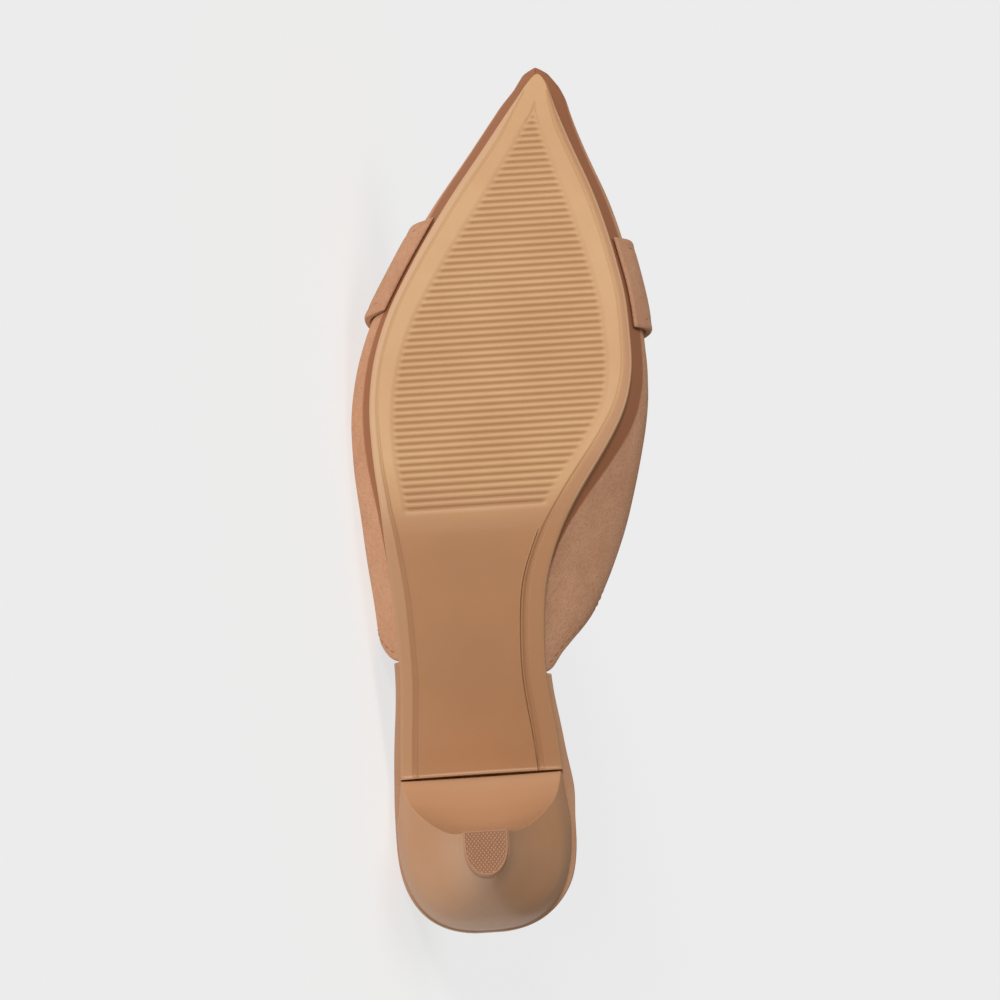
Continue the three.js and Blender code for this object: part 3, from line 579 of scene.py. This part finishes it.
class Material:
    """A node material, written one node at a time."""

    def __init__(self, name, **sockets):
        self.material = bpy.data.materials.new(name)
        self.material.use_nodes = True
        self.tree = self.material.node_tree
        self.shader = self.tree.nodes["Principled BSDF"]
        self.place = self.node("ShaderNodeTexCoord").outputs["Object"]
        for socket, value in sockets.items():
            self.shader.inputs[socket.replace("_", " ")].default_value = value

    def node(self, kind, **settings):
        made = self.tree.nodes.new(kind)
        for setting, value in settings.items():
            setattr(made, setting, value)
        return made

    def feed(self, socket, value):
        if isinstance(value, bpy.types.NodeSocket):
            self.tree.links.new(value, socket)
        else:
            socket.default_value = value

    def mark(self, name):
        return self.node("ShaderNodeAttribute", attribute_name=name).outputs["Fac"]

    def noise(self, size, detail=3, roughness=0.5, stretch=(1, 1, 1)):
        """Cloudy noise whose largest spots are about size millimetres."""
        mapping = self.node("ShaderNodeMapping")
        self.feed(mapping.inputs["Vector"], self.place)
        mapping.inputs["Scale"].default_value = stretch
        made = self.node("ShaderNodeTexNoise")
        self.feed(made.inputs["Vector"], mapping.outputs["Vector"])
        made.inputs["Scale"].default_value = 1000 / size
        made.inputs["Detail"].default_value = detail
        made.inputs["Roughness"].default_value = roughness
        return made.outputs["Fac"]

    def sum(self, operation, first, second=0.0):
        made = self.node("ShaderNodeMath", operation=operation)
        self.feed(made.inputs[0], first)
        self.feed(made.inputs[1], second)
        return made.outputs[0]

    def between(self, value, low, high, start=0.0, end=1.0):
        made = self.node("ShaderNodeMapRange", interpolation_type="SMOOTHSTEP")
        for socket, given in zip(made.inputs, (value, low, high, start, end)):
            self.feed(socket, given)
        return made.outputs[0]

    def mix(self, share, first, second, blend="MIX"):
        made = self.node("ShaderNodeMix", data_type="RGBA", blend_type=blend)
        self.feed(made.inputs["Factor"], share)
        self.feed(made.inputs[6], first)
        self.feed(made.inputs[7], second)
        return made.outputs[2]

    def colour(self, value):
        self.feed(self.shader.inputs["Base Color"], value)

    def rough(self, value):
        self.feed(self.shader.inputs["Roughness"], value)

    def bump(self, height, distance, strength=1.0):
        made = self.node("ShaderNodeBump")
        made.inputs["Distance"].default_value = distance / 1000
        made.inputs["Strength"].default_value = strength
        self.feed(made.inputs["Height"], height)
        self.feed(self.shader.inputs["Normal"], made.outputs["Normal"])


def suede(name, light, dark, edge_tone_and_shade):
    """Napped leather: mottled, finely speckled, and flattened smooth beside the sole, where it is painted
    darker: partly the leather's own darker tone there, partly painted shade where the side curves under to the
    sole.
    """
    made = Material(name, Specular_IOR_Level=0.2, Sheen_Weight=0.18, Sheen_Roughness=0.45,
                    Sheen_Tint=linear(255, 205, 175))
    clouds = made.noise(11, 4, 0.6)
    nap = made.noise(1.5, 5, 0.75)
    speck = made.noise(0.9, 4, 0.8)
    ground = made.mix(made.between(clouds, 0.25, 0.75, 0.25, 0.75), dark, light)
    napped = made.mix(made.sum("MULTIPLY", made.between(nap, 0.35, 0.7), 0.4), ground, light)
    fleck = made.sum("MULTIPLY", made.between(speck, 0.48, 0.66), 0.7)
    flecked = made.mix(fleck, napped, dark)
    uneven = made.sum("ADD", made.mark("edge_tone_and_shade"), made.sum("MULTIPLY", made.sum("SUBTRACT", nap, 0.5), 0.35))
    smoothed_and_shade = made.between(uneven, 0.25, 0.8)
    # Painted darker beside the sole: partly own tone, partly painted shade.
    made.colour(made.mix(smoothed_and_shade, flecked, edge_tone_and_shade))
    made.rough(made.between(smoothed_and_shade, 0, 1, 0.95, 0.62))
    fine = made.sum("ADD", made.sum("MULTIPLY", speck, 0.6), made.sum("MULTIPLY", nap, 0.8))
    made.bump(made.sum("MULTIPLY", fine, made.between(smoothed_and_shade, 0, 1, 1, 0.2)), 0.35, 0.8)
    return made.material


def moulded_sole(name):
    """Sole rubber: light on the forepart, browner and smoother towards the waist, with painted shade in the
    channel, the valleys and along the tread field's edge, and on the inner border.
    """
    made = Material(name, Specular_IOR_Level=0.4)
    waist = made.between(made.mark("waist"), 0, 1)
    clouds = made.noise(22, 3, 0.5)
    ground = made.mix(waist, linear(200, 157, 110), linear(169, 121, 83))
    clouded = made.mix(made.sum("MULTIPLY", made.between(clouds, 0.3, 0.7), 0.3), ground, linear(183, 131, 92))
    # Painted shade: the channel, its walls, the valleys between the ridges and the tread field's edge are
    # painted darker.
    deep = made.mix(made.sum("MULTIPLY", made.mark("deep"), 0.6), clouded, linear(140, 96, 62))
    # The inner side's border is painted darker than the outer side's: painted shade, as that side faces away
    # from the light.
    rim = made.mix(made.mark("inner"), linear(199, 158, 122), linear(164, 113, 77))
    rim = made.mix(made.sum("MULTIPLY", waist, 0.7), rim, linear(178, 130, 92))
    edge = made.mix(made.sum("MULTIPLY", made.mark("rim"), 0.75), deep, rim)
    speck = made.noise(0.35, 2, 0.6)
    flecks = made.sum("MULTIPLY", made.between(speck, 0.55, 0.75), 0.12)
    made.colour(made.mix(flecks, edge, linear(150, 104, 70)))
    grain = made.mark("grain")
    made.rough(made.sum("ADD", made.between(waist, 0, 1, 0.56, 0.4), made.sum("MULTIPLY", grain, 0.2)))
    fine = made.noise(0.5, 3, 0.6)
    height = made.sum("MULTIPLY", fine, made.between(grain, 0, 1, 0.12, 1))
    made.bump(height, 0.12, 0.6)
    return made.material


def gloss_plastic(name):
    made = Material(name, Specular_IOR_Level=0.2, Coat_Weight=0.05, Coat_Roughness=0.2)
    clouds = made.noise(30, 2, 0.5)
    fine = made.noise(0.9, 3, 0.5)
    ground = made.mix(made.between(clouds, 0.3, 0.7), linear(184, 139, 103), linear(177, 130, 93))
    made.colour(made.mix(made.sum("MULTIPLY", made.mark("breast"), 0.5), ground, linear(180, 133, 98)))
    made.rough(made.between(fine, 0.3, 0.7, 0.4, 0.46))
    made.bump(clouds, 0.15, 0.3)
    return made.material


def hatched_rubber(name):
    made = Material(name, Specular_IOR_Level=0.35)
    speck = made.noise(0.4, 3, 0.7)
    ground = made.mix(made.sum("MULTIPLY", speck, 0.4), linear(174, 127, 95), linear(158, 112, 82))
    # The hatch's cuts are painted darker: painted shade.
    made.colour(made.mix(made.sum("MULTIPLY", made.mark("deep"), 0.8), ground, linear(128, 86, 60)))
    made.rough(made.between(speck, 0.3, 0.7, 0.5, 0.65))
    made.bump(speck, 0.06, 0.5)
    return made.material


def smooth_leather(name, light, dark, roughness):
    """Grain leather for the footbed's rim, the sock and the lining."""
    made = Material(name, Specular_IOR_Level=0.35)
    clouds = made.noise(25, 3, 0.5)
    cells = made.node("ShaderNodeTexVoronoi", feature="DISTANCE_TO_EDGE")
    made.feed(cells.inputs["Vector"], made.place)
    cells.inputs["Scale"].default_value = 1000 / 0.9
    made.colour(made.mix(made.between(clouds, 0.3, 0.7), light, dark))
    made.rough(made.between(clouds, 0.3, 0.7, roughness, roughness + 0.1))
    made.bump(made.between(cells.outputs["Distance"], 0, 0.25), 0.05, 0.6)
    return made.material


def thread(name, shade):
    made = Material(name, Specular_IOR_Level=0.3)
    twist = made.noise(0.3, 2, 0.5, (1, 1, 3))
    made.colour(made.mix(twist, shade, linear(120, 82, 58)))
    made.rough(made.between(twist, 0.3, 0.7, 0.6, 0.8))
    return made.material


# The last colour of each suede is its darker edge beside the sole: partly own tone, partly painted shade.
suede_upper = suede("suede_upper", linear(209, 160, 126), linear(178, 126, 93), linear(152, 98, 66))
suede_band = suede("suede_band", linear(200, 152, 120), linear(174, 124, 93), linear(150, 98, 70))
sole_rubber = moulded_sole("sole_rubber")
heel_plastic = gloss_plastic("heel_plastic")
lift_rubber = hatched_rubber("lift_rubber")
rim_leather = smooth_leather("rim_leather", linear(182, 138, 106), linear(172, 127, 96), 0.5)
sock_leather = smooth_leather("sock_leather", linear(205, 168, 138), linear(196, 156, 126), 0.5)
lining_leather = smooth_leather("lining_leather", linear(201, 164, 134), linear(190, 150, 120), 0.6)
tan_thread = thread("tan_thread", linear(176, 126, 96))


# Outsole
RIDGE_PHASES = (0, 0.2, 0.36, 0.45, 0.52, 0.6, 0.7, 0.86)


def outsole_places():
    """Places along the sole: even ones, and a few across each ridge of the tread field."""
    phases = np.array(RIDGE_PHASES)
    ridges = np.arange(FIELD_BACK, FIELD_TIP - RIDGE_PITCH, RIDGE_PITCH)
    field = (ridges[:, None] + phases * RIDGE_PITCH).ravel()
    back = np.linspace(BREAST_PLACE, FIELD_BACK, 62)[:-1]
    front = np.linspace(field[-1], OUTSOLE_TIP - 0.02, 60)[1:]
    return np.concatenate([back, field, front])


def ridge_valley(x):
    """1 in the valley between two ridges, 0 on the ridge."""
    phase = ((x - FIELD_BACK) / RIDGE_PITCH) % 1
    return np.exp(-(((phase - 0.52) / 0.2) ** 2))


def underside_shares(x):
    """Columns across the underside, each a distance inside one of the two edges, from outer to inner."""
    middle = (sole_edge(x, -1) + sole_edge(x, 1)) / 2
    half = (sole_edge(x, 1) - sole_edge(x, -1)) / 2
    columns = {}
    for side, name in ((-1, "outer"), (1, "inner")):
        stretch = edge_stretch(x, side)
        fit = np.minimum(1, half / (9.5 * stretch))
        channel, width, field = margin[name](x), margin["half"](x), margin["field"](x)
        lines = [0 * x + EDGE_ROUND * share for share in (1, 1.5)]
        lines += [channel + width * a + CHANNEL_SLOPE * b for a, b in
                  ((-1, -2.2), (-1, -1), (-1, 0), (-1, 1), (0, 0), (1, -1), (1, 0), (1, 1), (1, 2.2))]
        lines += [(channel + width + field) / 2 + 0 * x]
        lines += [field + offset for offset in (-0.9, -0.3, 0.3, 0.9, 1.6)]
        distances = np.stack(lines, 1)
        y = sole_edge(x, side)[:, None] - side * distances * (stretch * fit)[:, None]
        columns[side] = y, distances
    inner_columns = 22
    share = np.linspace(0, 1, inner_columns + 2)[1:-1]
    last_outer, last_inner = columns[-1][0][:, -1:], columns[1][0][:, -1:]
    between = last_outer + (last_inner - last_outer) * share
    deep = np.full(between.shape, 99.0)
    y = np.concatenate([columns[-1][0], between, columns[1][0][:, ::-1]], 1)
    distance = np.concatenate([columns[-1][1], deep, columns[1][1][:, ::-1]], 1)
    is_outer = np.concatenate([columns[-1][0] * 0 + 1, between * 0 + 1, columns[1][0] * 0], 1) > 0
    return y, distance, is_outer, middle, half


def make_outsole():
    x = outsole_places()
    y, distance, is_outer, middle, half = underside_shares(x)
    grid_x = np.broadcast_to(x[:, None], y.shape)
    across = (y - middle[:, None]) / half[:, None]
    base = sole_bottom(grid_x) - WAIST_CROWN * crown(grid_x) * (1 - across**2)
    channel = np.where(is_outer, margin["outer"](grid_x), margin["inner"](grid_x))
    reach = np.abs(distance - channel) - margin["half"](grid_x)
    inside_ends = smooth(grid_x, BREAST_PLACE, BREAST_PLACE + 0.6) * (1 - smooth(grid_x, 246.5, 249))
    faint = 1 - 0.6 * smooth(grid_x, 118, 150)
    groove = (1 - smooth(reach, -CHANNEL_SLOPE, CHANNEL_SLOPE)) * inside_ends * faint
    channel_wall_shade = np.exp(-((reach / 0.24) ** 2)) * inside_ends * faint * 0.8
    own = [side * (sole_edge(x, side)[:, None] - y) / edge_stretch(x, side)[:, None] for side in (-1, 1)]
    in_from_field = np.minimum(*own) - margin["field"](grid_x)
    along = smooth(grid_x, FIELD_BACK - 0.1, FIELD_BACK + 0.3)
    sunk = smooth(in_from_field, -0.35, 0.35) * along
    valley = ridge_valley(grid_x) * smooth(in_from_field, 0.1, 1.7) * along
    field_edge_shade = np.exp(-((in_from_field / 0.3) ** 2)) * along
    height = base + CHANNEL_DEPTH * groove + FIELD_DEPTH * sunk + RIDGE_DEPTH * valley
    underside = np.stack([grid_x, y, height], -1)

    def side_columns(side):
        edge = sole_edge(x, side)
        low = sole_bottom(x)
        small = np.minimum(EDGE_ROUND, half / 3)
        columns = []
        for angle in (60, 30, 0):
            inset = small * (1 - math.cos(math.radians(angle))) if angle else 0 * small
            drop = small * (1 - math.sin(math.radians(angle)))
            columns.append(np.stack([x, edge - side * inset, low + drop], -1))
        columns.append(np.stack([x, edge, low + OUTSOLE_THICKNESS * 0.7], -1))
        columns.append(np.stack([x, edge - side * 0.1, low + OUTSOLE_THICKNESS], -1))
        return columns

    outer_side, inner_side = side_columns(-1), side_columns(1)
    top = []
    for share in np.linspace(0, 1, 8)[1:-1]:
        top.append(inner_side[-1] + (outer_side[-1] - inner_side[-1]) * share)
    rings = [underside[:, j] for j in range(underside.shape[1])] + inner_side + top + outer_side[::-1]
    points = np.stack(rings, 1)
    rows, count = points.shape[:2]
    under = underside.shape[1]

    def spread(values, fill=0.0):
        full = np.full((rows, count), fill)
        full[:, :under] = values
        return full

    rim = spread(1 - smooth(distance, channel - 0.9, channel - 0.1), 1.0)
    waist = 1 - smooth(points[..., 0], 104, 132)
    grained = smooth(grid_x, GRAIN_BACK - 1, GRAIN_BACK) * (1 - smooth(grid_x, FIELD_BACK - 1, FIELD_BACK))
    grain = spread(grained)
    # Painted shade for the material: where the channel, its walls, the valleys and the field's edge are painted
    # darker.
    lines = np.maximum(np.maximum(channel_wall_shade, valley), np.maximum(0.35 * groove, 0.45 * field_edge_shade))
    # The inner half of the sole, whose border is painted darker as shade.
    inner = spread(np.where(is_outer, 0.0, 1.0))
    marks = {"deep": spread(lines), "rim": rim, "waist": waist, "grain": grain, "inner": inner}
    return make_piece("sole", points, tube_faces(points, flip=True), sole_rubber, "outsole", marks)


# Heel and top piece
def level_outline(front, back, half, bulge, power, scoop, side_steps, breast_steps):
    """Outline of a heel level: round the seat from the back, along the outer side, over the breast and back."""
    angle = np.linspace(0, math.pi / 2, side_steps + 1)
    share = HEEL_STRAIGHT_SHARE + (1 - HEEL_STRAIGHT_SHARE) * np.sin(angle) ** (2 / power)
    side_x = front + (back - front) * share
    side_y = (half + bulge) * np.maximum(np.cos(angle), 0) ** (2 / power)
    side_y[-1] = 0
    across = np.linspace(-1, 1, breast_steps + 1)
    breast_x, breast_y = front - scoop * (1 - across**2), half * across
    x = np.concatenate([side_x[::-1], breast_x, side_x[:-1]])
    y = np.concatenate([-side_y[::-1], breast_y, side_y[:-1]])
    return x, y, np.concatenate([side_x * 0, breast_x * 0 + 1, side_x[:-1] * 0])


def make_heel():
    drop = np.linspace(0, 1, 90)
    share = {column: monotone_curve(heel_levels, "drop", column)(drop) for column in heel_levels}
    tip_front = TOP_PIECE_PLACE + TOP_PIECE_LENGTH + TOP_PIECE_TAPER
    tip_back = TOP_PIECE_PLACE - TOP_PIECE_TAPER
    tip_half = TOP_PIECE_WIDTH / 2 + TOP_PIECE_TAPER
    seat_half = (sole_edge(BREAST_PLACE, 1) - sole_edge(BREAST_PLACE, -1)) / 2
    front = tip_front + (BREAST_PLACE - GAP - tip_front) * share["front"]
    back = tip_back + (GAP - tip_back) * share["back"]
    half = tip_half + (seat_half - tip_half) * share["half"]
    bulge = HEEL_SIDE_BULGE * share["half"]
    power = TOP_PIECE_POWER + (SEAT_POWER - TOP_PIECE_POWER) * share["half"]
    scoop = BREAST_SCOOP * share["scoop"]
    rows, breasts = [], []
    for k, level in enumerate(drop):
        x, y, breast = level_outline(front[k], back[k], half[k], bulge[k], power[k], scoop[k], 34, 36)
        height = sole_top(x) * (1 - level) + (TOP_PIECE_THICKNESS + GAP) * level
        rows.append(np.stack([x, y, height], -1))
        breasts.append(breast)
    points = np.stack(rows)
    marks = {"breast": np.stack(breasts)}
    heel = make_piece("heel_body", points, tube_faces(points), heel_plastic, "heel", marks)
    soften(heel, 0.35, 38)
    return heel


def even_loop(loop, count):
    """A closed line again, with evenly spaced points."""
    closed = np.concatenate([loop, loop[:1]])
    run = np.concatenate([[0], np.cumsum(np.linalg.norm(np.diff(closed, axis=0), axis=1))])
    places = np.linspace(0, run[-1], count, endpoint=False)
    return np.stack([np.interp(places, run, closed[:, k]) for k in range(2)], -1)


def make_top_piece():
    front = TOP_PIECE_PLACE + TOP_PIECE_LENGTH
    x, y = level_outline(front, TOP_PIECE_PLACE, TOP_PIECE_WIDTH / 2, 0, TOP_PIECE_POWER, 0, 90, 90)[:2]
    outline = even_loop(np.stack([x, y], -1), 360)
    centre = np.array([front - TOP_PIECE_LENGTH * 0.48, 0])
    rows, marks = [], []
    for height, inset in ((TOP_PIECE_THICKNESS, 0), (2.6, 0), (1.2, 0), (0.5, 0.02), (0.2, 0.12), (0.05, 0.3)):
        scale = 1 - inset / (TOP_PIECE_WIDTH / 2)
        ring = centre + (outline - centre) * scale
        rows.append(np.column_stack([ring, np.full(len(ring), height)]))
        marks.append(np.zeros(len(ring)))
    ring_width = 0.5
    for share in np.linspace(1, 0.03, 66):
        scale = (1 - 0.4 / (TOP_PIECE_WIDTH / 2)) * share
        ring = centre + (outline - centre) * scale
        inside = (1 - scale) * TOP_PIECE_WIDTH / 2
        field = smooth(np.full(len(ring), inside), ring_width - 0.1, ring_width + 0.15)
        cut = np.zeros(len(ring))
        for lean in (38, -38):
            angle = math.radians(lean)
            run = ring @ np.array([math.sin(angle), math.cos(angle)])
            phase = np.abs((run / HATCH_PITCH) % 1 - 0.5)
            cut = np.maximum(cut, np.exp(-((phase / 0.17) ** 2)))
        cut = cut * field
        rows.append(np.column_stack([ring, HATCH_DEPTH * cut + 0.03 * field]))
        marks.append(cut)
    points = np.stack(rows)
    # The cuts, which the material paints darker as shade.
    marks = {"deep": np.stack(marks)}
    return make_piece("top_lift", points, tube_faces(points), lift_rubber, "top_piece", marks)


# Footbed
def seat_half(x):
    back = np.maximum(0, 1 - x / SEAT_REACH)
    return SEAT_WIDTH / 2 * (1 - back**SEAT_POWER) ** (1 / SEAT_POWER)


def rim_place(x, side):
    blend = smooth(x, SEAT_REACH, BREAST_PLACE)
    overhang = RIM_OVERHANG + (WING_OVERHANG - RIM_OVERHANG) * smooth(x, BREAST_PLACE, INNER_WING_PLACE)
    extra = (INNER_RIM_EXTRA if side > 0 else 0) * smooth(x, 1, 16) * (1 - smooth(x, 38, 54))
    return side * seat_half(x) * (1 - blend) + (sole_edge(x, side) + side * overhang) * blend + extra


def footbed_edge(x, side):
    wing = OUTER_WING_PLACE if side < 0 else INNER_WING_PLACE
    held = np.maximum(x, wing)
    wall = inside_upper(held, np.full(x.shape, 0.0 if side < 0 else 1.0), WALL)
    in_wall = x > wing - WING_STEP + 1e-6
    y = np.where(in_wall, wall[:, 1] - side * GAP * edge_stretch(x, side), rim_place(x, side))
    moved = np.where(in_wall, wall[:, 0] + x - held, x)
    return np.stack([moved, y, piece_floor(moved)], -1)


# The footbed's rounded edge: how far in, and how high
FOOTBED_PROFILE = (
    (0.35, 0), (0.1, 0.25), (0, 0.7), (0, 0.5 * FOOTBED_THICKNESS), (0.06, 2.4), (0.35, 2.85), (0.9, 3.1),
    (1.8, FOOTBED_THICKNESS),
)


def layered_ring(x, inset, low, high):
    """Rings of a layer of the footbed along the shoe, its sides set in from the footbed's edge."""
    outer, inner = footbed_edge(x, -1), footbed_edge(x, 1)
    width = np.maximum(inner[:, 1] - outer[:, 1], 0.2)
    room = np.minimum(1, width / (2.6 * (inset + 2)))
    columns = []
    for ends, way, order in ((outer, 1, 1), (inner, -1, -1)):
        profile = [(inset + cut, low + (high - low) * height / FOOTBED_THICKNESS)
                   for cut, height in FOOTBED_PROFILE[::order]]
        for cut, height in profile:
            column = ends.copy()
            column[:, 1] += way * cut * room
            column[:, 2] += height
            columns.append(column)
        if way > 0:
            for share in np.linspace(0, 1, 14)[1:-1]:
                start = outer + np.stack([0 * x, (inset + 1.8) * room, 0 * x + high], -1)
                end = inner + np.stack([0 * x, -(inset + 1.8) * room, 0 * x + high], -1)
                columns.append(start + (end - start) * share)
    return np.stack(columns, 1)


def footbed_places(start, tip):
    seat = start + (SEAT_REACH - start) * (1 - np.cos(np.linspace(0, math.pi / 2, 40)))
    steps = [wing - share * WING_STEP for wing in (OUTER_WING_PLACE, INNER_WING_PLACE) for share in (1, 0.5)]
    even = np.linspace(SEAT_REACH, tip, 150)
    clear = even[np.min([np.abs(even - step) for step in steps], axis=0) > WING_STEP / 2]
    return np.concatenate([seat[:-1], np.sort(np.concatenate([clear, steps]))])


def make_footbed():
    tip = hollow_tip() - 2 * WALL
    for name, start, inset, low, high, material, node in (
        ("footbed", 0.15, 0, 0, FOOTBED_THICKNESS, rim_leather, "insole"),
        ("sock", 3.2, 2.6, FOOTBED_THICKNESS, FOOTBED_THICKNESS + 0.7, sock_leather, None),
    ):
        x = footbed_places(start, tip - inset)
        points = layered_ring(x, inset, low, high)
        make_piece(name, points, tube_faces(points), material, node)


# Band
def band_turns(count):
    place = BAND_OUTER_PLACE + BAND_WIDTH / 2
    tries = np.linspace(0, 0.3, 1200)
    ends = []
    for turns in (tries, 1 - tries):
        heights = upper_point(np.full(tries.shape, place), turns)[:, 2]
        ends.append(turns[np.argmax(heights - heights[0] >= BAND_LIFT)])
    return ends[0] + (ends[1] - ends[0]) * np.linspace(0, 1, count)


BAND_COLUMNS = 150


def band_thickness(count):
    """Thin where the band meets the sole, and full from the side's widest line up."""
    turn = band_turns(count)
    full = smooth(np.minimum(turn, 1 - turn), turn[0], WIDEST_TURN)
    return BAND_END_THICKNESS + (BAND_THICKNESS - BAND_END_THICKNESS) * full


def band_surface(across, lift_off, count=BAND_COLUMNS):
    """Points of the band at shares across its width, lifted off the upper."""
    share = np.linspace(0, 1, count)
    turn = band_turns(count)
    back = BAND_OUTER_PLACE + (BAND_INNER_PLACE - BAND_OUTER_PLACE) * share
    x = back + BAND_WIDTH * across
    return upper_point(x, turn) + upper_normal(x, turn) * np.asarray(lift_off)[..., None], upper_normal(x, turn)


def band_profile():
    """Loop round the band's section: share across and height, with folded edges and a seam between plies."""
    edge = BAND_THICKNESS / 2 / BAND_WIDTH
    loop = []
    for share in np.linspace(edge, 1 - edge, 34):
        near = min(share, 1 - share) * BAND_WIDTH
        dip = BAND_SEAM_DIP * math.exp(-(((near - BAND_SEAM_INSET) / 0.8) ** 2))
        loop.append((share, BAND_THICKNESS - dip))
    for way, centre in ((1, 1 - edge), (-1, edge)):
        for k in range(1, 12):
            angle = math.pi * k / 12
            seam = 0.28 * math.exp(-(((angle - math.pi / 2) / 0.22) ** 2))
            radius = BAND_THICKNESS / 2 - seam
            across = centre + way * radius * math.sin(angle) / BAND_WIDTH
            up = BAND_THICKNESS / 2 + way * radius * math.cos(angle)
            loop.append((across, up))
        if way > 0:
            loop += [(share, 0) for share in np.linspace(1 - edge, edge, 14)]
    return loop


def make_band():
    columns = []
    share = np.linspace(0, 1, BAND_COLUMNS)
    end_fade = np.sqrt(np.clip(np.minimum(share, 1 - share) / 0.008, 0, 1))
    swell = 0.12 * np.sin(share * 9.2 + 0.7) * np.sin(share * math.pi)
    thick = band_thickness(BAND_COLUMNS)
    for across, height in band_profile():
        from_middle = height / BAND_THICKNESS - 0.5
        up = thick * (0.5 + from_middle * (0.35 + 0.65 * end_fade)) + swell * (from_middle > 0)
        columns.append(band_surface(across, GAP + up)[0])
    points = np.stack(columns, 1)
    marks = {"edge_tone_and_shade": np.zeros(points.shape[:2])}
    make_piece("folded_band", points, tube_faces(points), suede_band, "band", marks)
    inset = BAND_SEAM_INSET / BAND_WIDTH
    for name, across in (("band_stitches_front", 1 - inset), ("band_stitches_back", inset)):
        line, normals = band_surface(across, GAP + band_thickness(400) - BAND_SEAM_DIP, 400)
        stitches(name, line[12:-12], normals[12:-12], STITCH_PITCH, tan_thread)


def make_upper():
    tip = hollow_tip()
    points, faces, x, turn, outside, blank = layer_of_wall(0, SUEDE_THICKNESS, FOOT_LENGTH, tip)
    from_foot = np.minimum(turn, 1 - turn)
    climb = np.cumsum(np.linalg.norm(np.diff(outside, axis=1), axis=-1), axis=1)
    climb = np.concatenate([climb[:, :1] * 0, climb], 1)
    from_edge = np.where(turn < 0.5, climb, climb[:, -1:] - climb)
    # Mark of the darker edge beside the sole: partly the leather's own tone, partly painted shade where the
    # side curves under; the nose's underside near the toe is painted dark as well, as painted shade.
    fore = smooth(x, 185, 222)
    reach = np.where(turn < 0.5, 3.8 + 3.2 * fore, 8 - 0.8 * fore) * smooth(x, 92, 145)
    edge_tone_and_shade = (1 - smooth(from_edge, reach * 0.7, reach * 1.3 + 0.6)) * (1 - smooth(from_foot, 0.18, 0.36))
    edge_tone_and_shade = np.maximum(edge_tone_and_shade, smooth(x, 246, 251) * (1 - smooth(from_foot, 0.1, 0.17)))
    marks = {"edge_tone_and_shade": np.concatenate([blank, edge_tone_and_shade])}
    make_piece("suede", points, faces, suede_upper, "upper", marks)
    points, faces = layer_of_wall(SUEDE_THICKNESS + 0.05, WALL, tip, tip - 1)[:2]
    make_piece("lining", points, faces, lining_leather)
    place, turn = topline_walk(HEM_INSET, 700)
    line, normals = upper_point(place, turn), upper_normal(place, turn)
    line = line - normals * crease_depth(place, turn)[:, None]
    stitches("topline_stitches", line, normals, STITCH_PITCH, tan_thread)


make_outsole()
make_heel()
make_top_piece()
make_footbed()
make_upper()
make_band()


# Camera, at the photograph's angle to the shoe: below the sole, tilted towards the heel, rolled with the toe up
CAMERA_AIM = (123, 11.1, 15)
CAMERA_TILT = math.radians(13.9)
CAMERA_SIDE = math.radians(-0.8)
CAMERA_ROLL = math.radians(-4)
CAMERA_DISTANCE = 1100
SENSOR = 36
LENS_RATIO = 3.704


def make_camera():
    back = unit(np.array([-math.sin(CAMERA_TILT), math.sin(CAMERA_SIDE), -math.cos(CAMERA_TILT)]))
    right = unit(np.cross(-back, (1, 0, 0)))
    up = np.cross(right, -back)
    rolled = right * math.cos(CAMERA_ROLL) + up * math.sin(CAMERA_ROLL)
    risen = up * math.cos(CAMERA_ROLL) - right * math.sin(CAMERA_ROLL)
    data = bpy.data.cameras.new("camera")
    data.sensor_width = SENSOR
    data.lens = SENSOR * LENS_RATIO
    data.clip_start, data.clip_end = 0.01, 200
    camera = bpy.data.objects.new("camera", data)
    turn = np.stack([rolled, risen, back]) @ AXES
    camera.matrix_world = Matrix.Translation(placed(np.array(CAMERA_AIM) + back * CAMERA_DISTANCE)) @ Matrix(
        turn.T.tolist()
    ).to_4x4()
    bpy.context.scene.collection.objects.link(camera)
    bpy.context.scene.camera = camera


# Studio: a pale floor without an end in view, a soft high light, and a low one near the camera
FLOOR_HALF = 60
LAMP_DISTANCE = 3


def make_floor():
    made = Material("floor_paper", Roughness=1.0, Specular_IOR_Level=0.0, Emission_Strength=0.655,
                    Emission_Color=(1, 1, 1, 1))
    made.colour(made.mix(made.noise(900, 2), linear(160, 161, 160), linear(163, 164, 163)))
    half = FLOOR_HALF
    mesh = bpy.data.meshes.new("floor")
    corners = [(-half, -half, 0), (half, -half, 0), (half, half, 0), (-half, half, 0)]
    mesh.from_pydata(corners, [], [(0, 1, 2, 3)])
    mesh.materials.append(made.material)
    floor = bpy.data.objects.new("floor", mesh)
    bpy.context.scene.collection.objects.link(floor)


def make_sun(name, towards, energy, angle):
    """A sun that shines from a direction of the row's frame onto the shoe."""
    data = bpy.data.lights.new(name, "SUN")
    data.energy = energy
    data.angle = math.radians(angle)
    lamp = bpy.data.objects.new(name, data)
    way = Vector(towards).normalized()
    lamp.location = way * LAMP_DISTANCE
    lamp.rotation_mode = "QUATERNION"
    lamp.rotation_quaternion = way.to_track_quat("Z", "Y")
    bpy.context.scene.collection.objects.link(lamp)


def make_studio():
    make_floor()
    world = bpy.data.worlds.new("studio")
    bpy.context.scene.world = world
    world.use_nodes = True
    background = world.node_tree.nodes["Background"]
    background.inputs["Color"].default_value = linear(238, 238, 238)
    background.inputs["Strength"].default_value = 0.3
    make_sun("key", (-0.3, -0.7, 1.0), 0.6, 30)
    make_sun("low_key", (-0.22, -0.98, 0.18), 1.7, 9)
    bpy.context.scene.view_settings.view_transform = "Standard"


make_camera()
make_studio()
